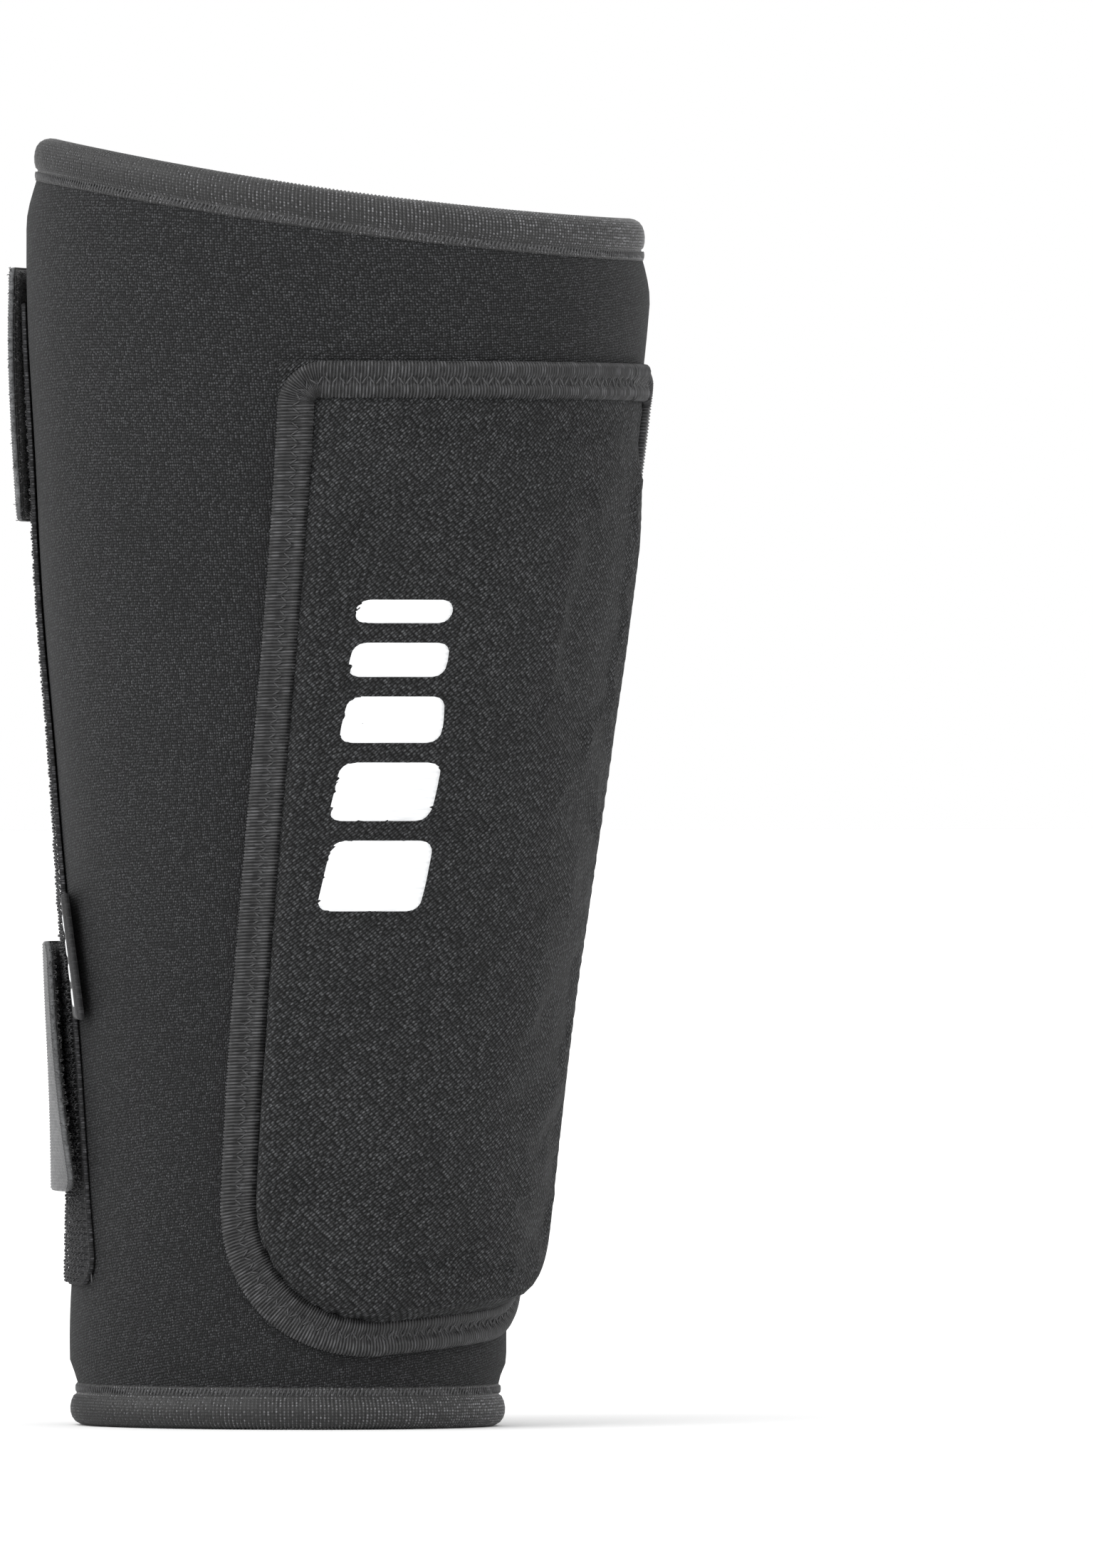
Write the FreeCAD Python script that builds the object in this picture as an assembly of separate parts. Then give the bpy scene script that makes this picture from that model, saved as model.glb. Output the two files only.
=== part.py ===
"""Shin guard for the right leg: a neoprene sleeve with a padded shield on the shin and a back opening.

The wearer faces -Y, +Z is up and the outer (lateral) side of the leg is -X. The origin is the centre of
the ankle opening, on the plane that the guard stands on. All sizes are in millimetres.

The sleeve is a soft tapered oval tube. Every piece is a layer at some distance outside or inside the
sleeve's outer face, trimmed by a wedge seen from above or by an outline seen from the front. Angles are
measured round the leg from the shin, positive towards the inner (medial) side and 180 at the back.
"""

import FreeCAD
import Part

import math
import os

V = FreeCAD.Vector

# --- Sleeve: an oval tube whose back is upright and whose front leans forward towards the knee.
ANKLE_RX, ANKLE_RY = 43.2, 48.4
CALF_RX, CALF_RY = 63.9, 66.0
FORWARD_LEAN = 17.5
TAPER_START, TAPER_END = 22.0, 240.0
NEOPRENE = 4.0
RIM_MIDDLE, RIM_RISE_LATERAL, RIM_RISE_BACK = 256.5, 0.100, 0.080
LOFT_BOTTOM, LOFT_TOP, LOFT_STEP = -20.0, 305.0, 25.0

# --- Back opening and the bend line of the medial flap.
SLIT_HALF = 5.0
BEND_ANGLE = 84.0
BEND_GAP = 0.3

# --- Hem and edge bindings: ribbed tape folded round the neoprene.
HEM_TAPE, HEM_TOP_WIDTH, HEM_BOTTOM_WIDTH = 1.2, 8.5, 8.0
EDGE_TAPE, EDGE_WIDTH = 0.8, 8.0
THREAD = 0.3

# --- Shin pad outline, seen from the front.
PAD_BOTTOM, PAD_TOP = 16.5, 218.5
PAD_HALF_BOTTOM, PAD_HALF_TOP = 36.2, 47.2
PAD_R_BOTTOM, PAD_R_TOP = 24.0, 8.0
PAD_BINDING, PAD_BINDING_HEIGHT = 7.5, 2.2
SIDE_VIEW = 0.65  # the sides curve away, so a width along them looks this much narrower from the front
COVER_EDGE_INSET, COVER_LOW, COVER_CLOTH = 2.0, 0.4, 1.0
INSERT_INSET, INSERT_TOP, INSERT_R_TOP = 9.0, 195.0, 8.0
FOAM_BOTTOM, FOAM_TOP = 5.0, 1.8
SHIELD = 1.6

# --- Hook tape on the lateral side, and what fastens to it.
TAPE_STATIONS = ((29.0, -162.6, -101.0), (130.0, -165.5, -124.0), (232.0, -167.6, -131.0))
TAPE, HOOKS_TOP, SELVEDGE = 0.6, 1.9, 3.5
PANEL = 2.5
PANEL_EDGE, PANEL_BACK = 87.0, 164.0
PANEL_Z_FRONT, PANEL_Z_BACK, PANEL_Z_TOP = 17.0, 40.0, 236.0
LOOP_LOW, BAND_LOW, BAND_TOP = 2.1, 2.8, 4.1
STRAP_HINGE = 147.0
ANCHOR_START = 127.0
LOOP_START = 190.0
UPPER_Z, UPPER_END = (187.0, 239.0), (-131.0, -132.0)
LOWER_Z, LOWER_END = (48.0, 100.0), (-107.0, -124.0)
CUT_ANGLE = 0.35

# --- Woven flag label sewn in beside the hook tape.
LABEL_Z, LABEL_SPAN, LABEL_LOW, LABEL_TOP = (84.0, 110.0), 12.0, 0.7, 1.9

_plugs = {}


def ease(z):
    """0 in the ankle tube and 1 at the calf, nearly straight in between."""
    x = min(1.0, max(0.0, (z - TAPER_START) / (TAPER_END - TAPER_START)))
    return (x + x * x * (3 - 2 * x)) / 2


def section(z):
    """Centre y and the two radii of the sleeve's outer face at height z."""
    e = ease(z)
    return (
        -FORWARD_LEAN * e,
        ANKLE_RX + (CALF_RX - ANKLE_RX) * e,
        ANKLE_RY + (CALF_RY - ANKLE_RY) * e,
    )


def on_sleeve(angle, z, out=0.0):
    """Point at an angle and height, a distance outside the sleeve's outer face."""
    cy, rx, ry = section(z)
    a = math.radians(angle)
    return V((rx + out) * math.sin(a), cy - (ry + out) * math.cos(a), z)


def plug(out):
    """Solid oval column whose side is that far outside the sleeve's face; out may depend on z."""
    if out not in _plugs:
        wires = []
        z = LOFT_BOTTOM
        while z <= LOFT_TOP:
            cy, rx, ry = section(z)
            d = out(z) if callable(out) else out
            oval = Part.Ellipse(V(0, cy + ry + d, z), V(rx + d, cy, z), V(0, cy, z))
            wires.append(Part.Wire([oval.toShape()]))
            z += LOFT_STEP
        _plugs[out] = Part.makeLoft(wires, True, False)
    return _plugs[out]


def layer(inner, outer):
    """Tube between two distances from the sleeve's face."""
    return plug(outer).cut(plug(inner))


def sector(stations, reach=1.9, step=35.0):
    """Wedge seen from above. Stations are (z, first angle, last angle), bottom to top."""
    span = max(last - first for _, first, last in stations)
    count = max(1, math.ceil(span / step))
    wires = []
    for z, first, last in stations:
        cy, rx, ry = section(z)
        points = [V(0, cy, z)]
        for i in range(count + 1):
            a = math.radians(first + (last - first) * i / count)
            points.append(V(reach * rx * math.sin(a), cy - reach * ry * math.cos(a), z))
        wires.append(Part.makePolygon(points + points[:1]))
    return Part.makeLoft(wires, True, True)


def slab(z0, z1):
    """Level slice of space between two heights."""
    return Part.makeBox(300, 300, z1 - z0, V(-150, -150, z0))


def below_rim(drop):
    """Everything below the sloping rim, lowered by drop. The rim is highest at the back and laterally."""
    space = Part.makeBox(400, 400, 400, V(-200, -200, -400))
    middle = V(0, -FORWARD_LEAN, RIM_MIDDLE - drop)
    up = V(RIM_RISE_LATERAL, -RIM_RISE_BACK, 1)
    space.Placement = FreeCAD.Placement(middle, FreeCAD.Rotation(V(0, 0, 1), up))
    return space


def rounded(corners, radii):
    """Closed wire in the XZ plane through the corners, each rounded with a tangent arc."""
    edges, ends = [], []
    for i, corner in enumerate(corners):
        before = (corners[i - 1] - corner).normalize()
        after = (corners[(i + 1) % len(corners)] - corner).normalize()
        half = before.getAngle(after) / 2
        inward = (before + after).normalize()
        radius = radii[i]
        centre = corner + inward * (radius / math.sin(half))
        reach = radius / math.tan(half)
        start, end = corner + before * reach, corner + after * reach
        edges.append(Part.Arc(start, centre - inward * radius, end).toShape())
        ends.append((start, end))
    sides = []
    for i in range(len(corners)):
        sides.append(Part.LineSegment(ends[i - 1][1], ends[i][0]).toShape())
        sides.append(edges[i])
    return Part.Wire(sides)


def pad_half(z):
    """Half the pad's width at height z."""
    share = (z - PAD_BOTTOM) / (PAD_TOP - PAD_BOTTOM)
    return PAD_HALF_BOTTOM + (PAD_HALF_TOP - PAD_HALF_BOTTOM) * share


def pad_prism(inset, top=None, top_radius=None):
    """The pad's outline, drawn in by inset, as a prism that runs forward through the shin."""
    z0 = PAD_BOTTOM + inset
    z1 = PAD_TOP - inset if top is None else top
    low, high = pad_half(z0) - inset * SIDE_VIEW, pad_half(z1) - inset * SIDE_VIEW
    corners = [V(-low, 0, z0), V(low, 0, z0), V(high, 0, z1), V(-high, 0, z1)]
    r0 = PAD_R_BOTTOM - inset
    r1 = max(1.0, PAD_R_TOP - inset) if top_radius is None else top_radius
    outline = rounded(corners, [r0, r0, r1, r1])
    return Part.Face(outline).extrude(V(0, -140, 0))


def foam_face(z):
    """Distance of the foam's front face from the sleeve."""
    share = (z - PAD_BOTTOM) / (INSERT_TOP - PAD_BOTTOM)
    return FOAM_BOTTOM + (FOAM_TOP - FOAM_BOTTOM) * min(1.2, max(-0.2, share))


def shield_face(z):
    """Distance of the shield's front face from the sleeve."""
    return foam_face(z) + SHIELD


def cover_face(z):
    """Distance of the cover's front face from the sleeve, over the insert."""
    return shield_face(z) + COVER_CLOTH


def slit_angle(z, past=0.0):
    """Angle of the medial edge of the back opening, or of a line that far round from it."""
    _, rx, _ = section(z)
    return 180.0 - math.degrees(math.asin((SLIT_HALF - past) / rx))


def between(first, last, z0=-10.0, z1=290.0):
    """Wedge between two lines given as functions of z, or as fixed angles."""
    def angle(line, z):
        return line(z) if callable(line) else line
    heights = [z0, (z0 + z1) / 2, z1]
    return sector([(z, angle(first, z), angle(last, z)) for z in heights])


def flap_side():
    """Everything from the bend line to the medial edge of the opening."""
    return between(BEND_ANGLE + CUT_ANGLE, slit_angle)


def flap_and_slit(past):
    """What the main sleeve leaves out: the flap's side and the opening, less the tape's overhang."""
    return between(BEND_ANGLE - CUT_ANGLE, lambda z: 360.0 - slit_angle(z, past))


def sleeve_sheet():
    """The whole neoprene tube, up to the rim."""
    tube = layer(-NEOPRENE, 0.0).common(below_rim(HEM_TAPE))
    return tube.common(slab(HEM_TAPE, 300))


def hem(top):
    """Folded ribbed tape round the whole top or bottom edge, before it is split at the bend line."""
    ring = layer(-NEOPRENE - HEM_TAPE, HEM_TAPE)
    if top:
        band = ring.common(below_rim(0.0)).cut(below_rim(HEM_TOP_WIDTH))
    else:
        band = ring.common(slab(0.0, HEM_BOTTOM_WIDTH))
    return band.cut(sleeve_sheet())


def hem_thread(top):
    """The row of stitches near the hem tape's inner edge."""
    ring = layer(HEM_TAPE, HEM_TAPE + THREAD)
    if top:
        return ring.common(below_rim(HEM_TOP_WIDTH - 1.9)).cut(below_rim(HEM_TOP_WIDTH - 0.9))
    return ring.common(slab(HEM_BOTTOM_WIDTH - 1.9, HEM_BOTTOM_WIDTH - 0.9))


def edge_binding(sign):
    """Folded tape along one upright edge of the back opening; sign -1 is the lateral edge."""
    ring = layer(-NEOPRENE - EDGE_TAPE, EDGE_TAPE)
    ring = ring.common(below_rim(HEM_TOP_WIDTH + 0.1)).common(slab(HEM_BOTTOM_WIDTH + 0.1, 300))

    def line(past):
        return (lambda z: slit_angle(z, past)) if sign > 0 else (lambda z: 360.0 - slit_angle(z, past))
    far, near = line(-EDGE_WIDTH), line(EDGE_TAPE)
    strip = between(far, near) if sign > 0 else between(near, far)
    return ring.common(strip).cut(sleeve_sheet().cut(between(slit_angle, lambda z: 360.0 - slit_angle(z))))


def split_at_bend(whole, past=0.0):
    """(main part, flap part) of a ring, with the back opening taken out."""
    return whole.cut(flap_and_slit(past)), whole.common(flap_side())


def pad_pieces():
    """The shield, foam and lining, the cloth cover over them and the tape round its edge."""
    insert = pad_prism(INSERT_INSET, INSERT_TOP, INSERT_R_TOP)
    lining = layer(0.0, COVER_LOW).common(pad_prism(PAD_BINDING))
    foam = plug(foam_face).cut(plug(COVER_LOW)).common(insert)
    shield = plug(shield_face).cut(plug(foam_face)).common(insert)

    raised = pad_prism(INSERT_INSET - COVER_CLOTH, INSERT_TOP + COVER_CLOTH, INSERT_R_TOP + COVER_CLOTH)
    skirt = plug(COVER_LOW + COVER_CLOTH).common(pad_prism(COVER_EDGE_INSET))
    cover = plug(cover_face).common(raised).fuse(skirt)
    cover = cover.cut(plug(shield_face).common(insert)).cut(plug(COVER_LOW))

    ring = layer(0.0, PAD_BINDING_HEIGHT).common(pad_prism(0.0)).cut(pad_prism(PAD_BINDING))
    tape = ring.cut(layer(COVER_LOW, COVER_LOW + COVER_CLOTH).common(pad_prism(COVER_EDGE_INSET)))
    seam = layer(PAD_BINDING_HEIGHT, PAD_BINDING_HEIGHT + THREAD)
    seam = seam.common(pad_prism(2.6)).cut(pad_prism(4.6))
    return {
        "pocket_lining": lining,
        "shin_foam": foam,
        "shin_shield": shield,
        "pad_cover": cover,
        "pad_binding": tape,
        "pad_binding_thread": seam,
    }


def hook_pieces():
    """Hook tape, its field of hooks and the two seams that hold its selvedges."""
    def strip(low, high, lead=0.0, trail=0.0):
        stations = []
        for z, first, last in TAPE_STATIONS:
            per_mm = math.degrees(1.0 / section(z)[1])
            stations.append((z, first + lead * per_mm, last - trail * per_mm))
        return layer(low, high).common(sector(stations))
    inner = [(z, a, b) for z, a, b in TAPE_STATIONS]
    height = slab(inner[0][0] + 2.0, inner[-1][0] - 2.0)
    seam_low = strip(TAPE, TAPE + THREAD, 1.2, 0.0).cut(strip(0.0, 9.0, 2.0, -1.0))
    seam_high = strip(TAPE, TAPE + THREAD, 0.0, 1.2).cut(strip(0.0, 9.0, -1.0, 2.0))
    return {
        "hook_tape": strip(0.0, TAPE),
        "hook_field": strip(TAPE, HOOKS_TOP, SELVEDGE, SELVEDGE).common(height),
        "hook_tape_thread": seam_low.fuse(seam_high).common(height),
    }


def label():
    """Woven flag label whose root is beside the hook tape's front edge."""
    def edge(z):
        (z0, _, a0), (z1, _, a1) = TAPE_STATIONS[0], TAPE_STATIONS[1]
        return a0 + (a1 - a0) * (z - z0) / (z1 - z0) + 0.4
    z0, z1 = LABEL_Z
    tool = sector([(z, edge(z), edge(z) + LABEL_SPAN) for z in (z0, z1)])
    return layer(LABEL_LOW, LABEL_TOP).common(tool)


def wrap_panel():
    """Second layer of neoprene on the medial flap, which the straps are sewn to."""
    sheet = layer(0.0, PANEL).common(slab(0, PANEL_Z_TOP)).common(between(PANEL_EDGE, PANEL_BACK))
    cy, rx, ry = section(PANEL_Z_FRONT)
    front_y = cy - ry * math.cos(math.radians(PANEL_EDGE))
    back_y = cy - ry * math.cos(math.radians(PANEL_BACK))
    slope = (PANEL_Z_BACK - PANEL_Z_FRONT) / (back_y - front_y)
    side = [V(-5, -150, -60), V(-5, 150, -60)]
    side.append(V(-5, 150, PANEL_Z_FRONT + slope * (150 - front_y)))
    side.append(V(-5, -150, PANEL_Z_FRONT + slope * (-150 - front_y)))
    under = Part.Face(Part.makePolygon(side + side[:1])).extrude(V(160, 0, 0))
    seam = layer(PANEL, PANEL + THREAD).common(slab(0, PANEL_Z_TOP - 2))
    seam = seam.common(between(PANEL_EDGE + 2.0, PANEL_EDGE + 3.0)).cut(under)
    return sheet.cut(under), seam


def strap(heights, ends):
    """One elastic strap: sewn anchor, box of stitches, moving band and the loop patch under its tip."""
    z0, z1 = heights
    tip = [360.0 + a for a in ends]
    anchor = sector([(z0, ANCHOR_START, STRAP_HINGE - CUT_ANGLE), (z1, ANCHOR_START, STRAP_HINGE - CUT_ANGLE)])
    moving = sector([(z0, STRAP_HINGE, tip[0]), (z1, STRAP_HINGE, tip[1])])
    patch = sector([(z0 + 1.5, LOOP_START, tip[0] - 1.0), (z1 - 1.5, LOOP_START, tip[1] - 1.0)])
    outer = sector([(z0 + 4, ANCHOR_START + 3, STRAP_HINGE - 3), (z1 - 4, ANCHOR_START + 3, STRAP_HINGE - 3)])
    inner = sector([(z0 + 5, ANCHOR_START + 4, STRAP_HINGE - 4), (z1 - 5, ANCHOR_START + 4, STRAP_HINGE - 4)])
    return {
        "strap_anchor": layer(PANEL, BAND_TOP).common(anchor),
        "strap_anchor_thread": layer(BAND_TOP, BAND_TOP + THREAD).common(outer.cut(inner)),
        "strap_band": layer(BAND_LOW, BAND_TOP).common(moving),
        "strap_loop_patch": layer(LOOP_LOW, BAND_LOW).common(patch),
    }


def guard():
    """Every piece of the guard by name."""
    sleeve, flap = split_at_bend(sleeve_sheet())
    pieces = {"sleeve": sleeve, "sleeve_medial_flap": flap}
    for name, top in (("top", True), ("bottom", False)):
        pieces[f"{name}_binding"], pieces[f"{name}_binding_flap"] = split_at_bend(hem(top))
        pieces[f"{name}_binding_thread"], pieces[f"{name}_binding_flap_thread"] = split_at_bend(hem_thread(top))
    pieces["lateral_edge_binding"] = edge_binding(-1)
    pieces["medial_edge_binding"] = edge_binding(1)
    pieces.update(pad_pieces())
    pieces.update(hook_pieces())
    pieces["flag_label"] = label()
    pieces["wrap_panel"], pieces["wrap_panel_thread"] = wrap_panel()
    for side, heights, ends in (("upper", UPPER_Z, UPPER_END), ("lower", LOWER_Z, LOWER_END)):
        for name, shape in strap(heights, ends).items():
            pieces[f"{side}_{name}"] = shape
    return pieces


def hinge_lines():
    """Bend line of the flap and of each strap, as two points on the outermost face that turns."""
    lines = {"flap": (V(ANKLE_RX + 1.4, -6.0, 0.0), V(CALF_RX + 3.0, -25.2, RIM_MIDDLE))}
    for side, (z0, z1) in (("upper", UPPER_Z), ("lower", LOWER_Z)):
        lines[side] = tuple(on_sleeve(STRAP_HINGE, z, BAND_TOP) for z in (z0, z1))
    return lines


if __name__ == "__main__":
    os.makedirs("parts", exist_ok=True)
    for name, shape in guard().items():
        solids = shape.Solids
        kept = solids[0] if len(solids) == 1 else Part.makeCompound(solids)
        kept.exportStep(f"parts/{name}.step")
        print(f"{name}: {len(solids)} solid, {kept.Volume:.0f} mm3, valid {kept.isValid()}")
    for name, (low, high) in hinge_lines().items():
        axis = (high - low).normalize()
        print(f"{name} bend line: at {tuple(round(c, 2) for c in low)}, along {tuple(round(c, 5) for c in axis)}")
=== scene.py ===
"""Visual model of a right-leg shin guard, built round its CAD frame.

The file is laid out as an add-on: sizes and colours are properties, each group of pieces has an operator,
and a panel in the sidebar lists them. Shapes are worked out in millimetres and scaled as a mesh is made.
Angles go round the leg from the shin, positive towards the inner (medial) side, and 180 is the back.
"""

import math

import bmesh
import bpy
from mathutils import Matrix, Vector, noise
from mathutils.bvhtree import BVHTree


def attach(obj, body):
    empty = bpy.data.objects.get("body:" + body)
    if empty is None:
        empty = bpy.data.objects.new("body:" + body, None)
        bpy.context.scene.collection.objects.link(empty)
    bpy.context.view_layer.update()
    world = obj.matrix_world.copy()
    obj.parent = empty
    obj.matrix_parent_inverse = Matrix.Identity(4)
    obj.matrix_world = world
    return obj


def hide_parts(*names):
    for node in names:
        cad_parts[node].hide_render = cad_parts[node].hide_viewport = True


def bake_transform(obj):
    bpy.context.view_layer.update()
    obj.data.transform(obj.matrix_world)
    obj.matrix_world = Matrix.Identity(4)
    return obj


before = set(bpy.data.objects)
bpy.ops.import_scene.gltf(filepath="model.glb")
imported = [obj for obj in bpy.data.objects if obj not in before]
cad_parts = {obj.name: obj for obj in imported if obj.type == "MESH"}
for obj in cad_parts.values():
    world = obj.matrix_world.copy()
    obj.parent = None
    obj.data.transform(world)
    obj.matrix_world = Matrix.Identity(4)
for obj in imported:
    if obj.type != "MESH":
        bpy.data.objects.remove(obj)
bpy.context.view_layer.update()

bl_info = {
    "name": "Shin Guard",
    "version": (1, 0, 0),
    "blender": (4, 5, 0),
    "location": "3D View > Sidebar > Shin Guard",
    "description": "Builds the cloth, tapes, straps and hooks of a shin guard round its CAD frame",
    "category": "Object",
}

MM = 0.001

# Sleeve, in millimetres: an oval tube whose back is upright and whose front leans forward.
ANKLE_RX, ANKLE_RY = 43.2, 48.4
CALF_RX, CALF_RY = 63.9, 66.0
FORWARD_LEAN = 17.5
TAPER_START, TAPER_END = 22.0, 240.0
RIM_MIDDLE, RIM_RISE_LATERAL, RIM_RISE_BACK = 256.5, 0.100, 0.080
SLIT_HALF = 5.0
PINCH_TOP, PINCH_TOP_REACH, PINCH_BOTTOM, PINCH_BOTTOM_REACH = 3.3, 16.0, 1.8, 6.0
HALVES_MEET = 28.0

# Where the medial flap bends: a point on the line, and the way across it.
BEND_AT, BEND_ACROSS, BEND_REACH = (44.6, -6.0, 0.0), (0.105, 0.985, 0.064), 9.0

# Shin pad, measured along the cloth from the shin's middle line.
PAD_BOTTOM, PAD_TOP = 16.0, 219.0
PAD_HALF_BOTTOM, PAD_HALF_TOP, PAD_SHIFT_BOTTOM = 47.8, 54.0, 2.3
PAD_R_BOTTOM, PAD_R_TOP, PAD_TILT = 34.0, 8.6, 0.09
INSERT_TOP = 197.0

# Faint creases above the shield: height, slope, depth and width.
PAD_CREASES = ((203.6, -0.012, 0.22, 0.7), (200.4, -0.03, 0.30, 0.8), (196.8, 0.01, 0.2, 1.4))

# Hook tape edges as (height, back angle, front angle), bottom to top.
TAPE_STATIONS = ((29.0, -162.6, -101.0), (130.0, -165.5, -124.0), (232.0, -167.6, -131.0))

# Straps: heights, and the angle where each is sewn, where it bends and where it ends (bottom, top).
ANCHOR_ANGLE, STRAP_BEND = 127.0, 147.0
UPPER_STRAP = ((187.0, 239.5), (229.5, 228.5))
LOWER_STRAP = ((48.5, 100.0), (255.0, 239.0))
STRAP_LOW, STRAP_HIGH = 2.05, 3.2
LABEL_HEIGHTS = (84.0, 110.0)

# The hems' seams: distance from the edge, and height above the cloth there.
HEM_SEAM_DROP, HEM_SEAM_OUT = 7.5, 0.46

# The zigzag seam's distance inwards from the pad's outline, and its height.
ZIGZAG_INSET, ZIGZAG_OUT = 3.85, 1.78

# Print on the pad: where its middle line and its foot are, the height of each bar, the gap and the slant.
PRINT_MIDDLE, PRINT_FOOT = -25.0, 106.5
PRINT_BARS, PRINT_GAP, PRINT_SLANT = (14.5, 12.0, 9.5, 7.0, 4.8), 4.0, 0.10


# --- Properties -----------------------------------------------------------------------------------------


def size(name, description, millimetres):
    return bpy.props.FloatProperty(
        name=name, description=description, default=millimetres * MM, min=0.0, unit="LENGTH", precision=5
    )


def colour(name, description, default):
    return bpy.props.FloatVectorProperty(
        name=name, description=description, default=default, subtype="COLOR", size=3, min=0.0, max=1.0
    )


class ShinGuardSizes(bpy.types.PropertyGroup):
    """Sizes of the guard's details."""

    wall: size("Neoprene", "Thickness of the sleeve's neoprene", 4.0)
    hem_rib_pitch: size("Hem rib pitch", "Distance between ribs of the top and bottom tapes", 0.85)
    hem_rib_height: size("Hem rib height", "Half the height of those ribs", 0.16)
    tape_rib_pitch: size("Pad tape rib pitch", "Distance between ribs of the pad's tape", 0.68)
    tape_rib_height: size("Pad tape rib height", "Half the height of those ribs", 0.2)
    zigzag_pitch: size("Zigzag pitch", "Distance between one zigzag stitch and the next", 1.5)
    stitch_thickness: size("Thread", "Thickness of the sewing thread", 0.35)
    hook_height: size("Hook height", "Height of the hooks above their tape", 1.1)
    hook_pitch: size("Hook pitch", "Distance between hooks in a row and between rows", 1.35)
    hook_thickness: size("Hook thickness", "Thickness of one hook", 0.3)
    pile_height: size("Loop height", "Height of the loop pile on the straps", 0.7)
    pile_thickness: size("Loop thickness", "Thickness of one loop of the pile", 0.16)
    strap_rib_pitch: size("Strap rib pitch", "Distance between ribs of the straps' webbing", 0.62)
    strap_rib_height: size("Strap rib height", "Half the height of those ribs", 0.08)
    print_width: size("Print width", "Width of the white print on the pad", 19.0)
    print_height: size("Print height", "Height of the white print on the pad", 64.0)


class ShinGuardColours(bpy.types.PropertyGroup):
    """Colours of the guard's cloths and plastics."""

    neoprene: colour("Neoprene", "Jersey face of the neoprene", (0.0225, 0.023, 0.0242))
    lining: colour("Lining", "Inner face of the neoprene", (0.02, 0.02, 0.022))
    pad_cloth: colour("Pad cloth", "Coarse knit over the shin", (0.0242, 0.0248, 0.0258))
    tape: colour("Ribbed tape", "Tape round the pad and the edges", (0.034, 0.034, 0.0355))
    thread: colour("Thread", "Sewing thread", (0.035, 0.035, 0.037))
    hooks: colour("Hooks", "Hooks and their tape", (0.032, 0.032, 0.034))
    pile: colour("Loop pile", "Loop side of the straps", (0.014, 0.014, 0.015))
    elastic: colour("Elastic", "Outer face of the straps", (0.105, 0.107, 0.110))
    print_ink: colour("Print", "Ink of the print and the marks on the label", (0.86, 0.87, 0.88))
    foam: colour("Foam", "Foam behind the shield", (0.12, 0.12, 0.12))
    shield: colour("Shield", "Moulded shield in the pocket", (0.08, 0.08, 0.085))
    floor: colour("Floor", "Studio floor", (0.90, 0.90, 0.90))


# --- Shape of the leg sleeve ------------------------------------------------------------------------------


def smooth(x):
    """0 to 1 with level ends."""
    x = min(1.0, max(0.0, x))
    return x * x * (3 - 2 * x)


def section(z):
    """Centre y and the two radii of the sleeve's outer face."""
    x = min(1.0, max(0.0, (z - TAPER_START) / (TAPER_END - TAPER_START)))
    e = (x + smooth(x)) / 2
    return -FORWARD_LEAN * e, ANKLE_RX + (CALF_RX - ANKLE_RX) * e, ANKLE_RY + (CALF_RY - ANKLE_RY) * e


def rim_height(angle):
    """Height of the rim at an angle: highest at the back of the outer side."""
    _, rx, ry = section(RIM_MIDDLE)
    a = math.radians(angle)
    swing = a + math.radians(38)
    return (
        RIM_MIDDLE
        - RIM_RISE_LATERAL * rx * math.sin(a)
        - RIM_RISE_BACK * ry * math.cos(a)
        - 1.1 * math.cos(2 * swing)
        - 1.2 * max(0.0, math.cos(swing))
    )


def drape(angle, z):
    """How far the neoprene lies outside its plain oval: drawn in at the hems, hollow at the hook tape."""
    top = rim_height(angle) - 2.0 - z
    out = -PINCH_BOTTOM * (1 - smooth((z - 8.0) / PINCH_BOTTOM_REACH))
    out -= PINCH_TOP * (1 - smooth(top / PINCH_TOP_REACH))
    hollow = math.exp(-(((z - 100) / 68) ** 2) - ((angle + 126) / 36) ** 2)
    out -= 2.6 * hollow * smooth((z - 18) / 16)
    a = math.radians(angle)
    low = noise.noise(Vector((math.sin(a) * 1.6, math.cos(a) * 1.6, z / 45)))
    off_pad = 1 - smooth((60 - abs(angle)) / 10) * smooth((228 - z) / 8)
    return out + 0.5 * low * off_pad * smooth((z - 14) / 30) * smooth((top - 10) / 30)


def on_sleeve(angle, z, out=0.0):
    """Point at an angle and height, a distance outside the sleeve's face."""
    cy, rx, ry = section(z)
    a = math.radians(angle)
    out += drape(angle, z)
    return Vector(((rx + out) * math.sin(a), cy - (ry + out) * math.cos(a), z))


def girth(z):
    """Millimetres along the cloth for each degree round the leg."""
    _, rx, ry = section(z)
    return math.radians(1.0) * (rx + ry) / 2


def pad_lift(s, z):
    """How much higher the pad sits than a level one: its bottom edge rises towards the inner side."""
    return PAD_TILT * (s + 3.0) * smooth((75.0 - z) / 60.0)


def on_pad(s, z, out=0.0):
    """Point on the front of the sleeve, s millimetres along the cloth from its middle line."""
    _, rx, ry = section(z)
    s += PAD_SHIFT_BOTTOM * (PAD_TOP - z) / (PAD_TOP - PAD_BOTTOM)
    z += pad_lift(s, z)
    return on_sleeve(math.degrees(s / (rx + 0.25 * (ry - rx))), z, out)


def slit_angle(z, past=0.0):
    """Angle of the medial edge of the back opening, or of a line that far beyond it."""
    return 180.0 - math.degrees(math.asin((SLIT_HALF - past) / section(z)[1]))


def between_stations(z, column):
    """Hook tape edge angle at a height."""
    for low, high in zip(TAPE_STATIONS, TAPE_STATIONS[1:]):
        if z <= high[0] or high is TAPE_STATIONS[-1]:
            return low[column] + (high[column] - low[column]) * (z - low[0]) / (high[0] - low[0])


def spread(first, last, step):
    """Evenly spaced values from first to last, about a step apart."""
    count = max(1, round(abs(last - first) / step))
    return [first + (last - first) * i / count for i in range(count + 1)]


# --- Making meshes ----------------------------------------------------------------------------------------


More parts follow.
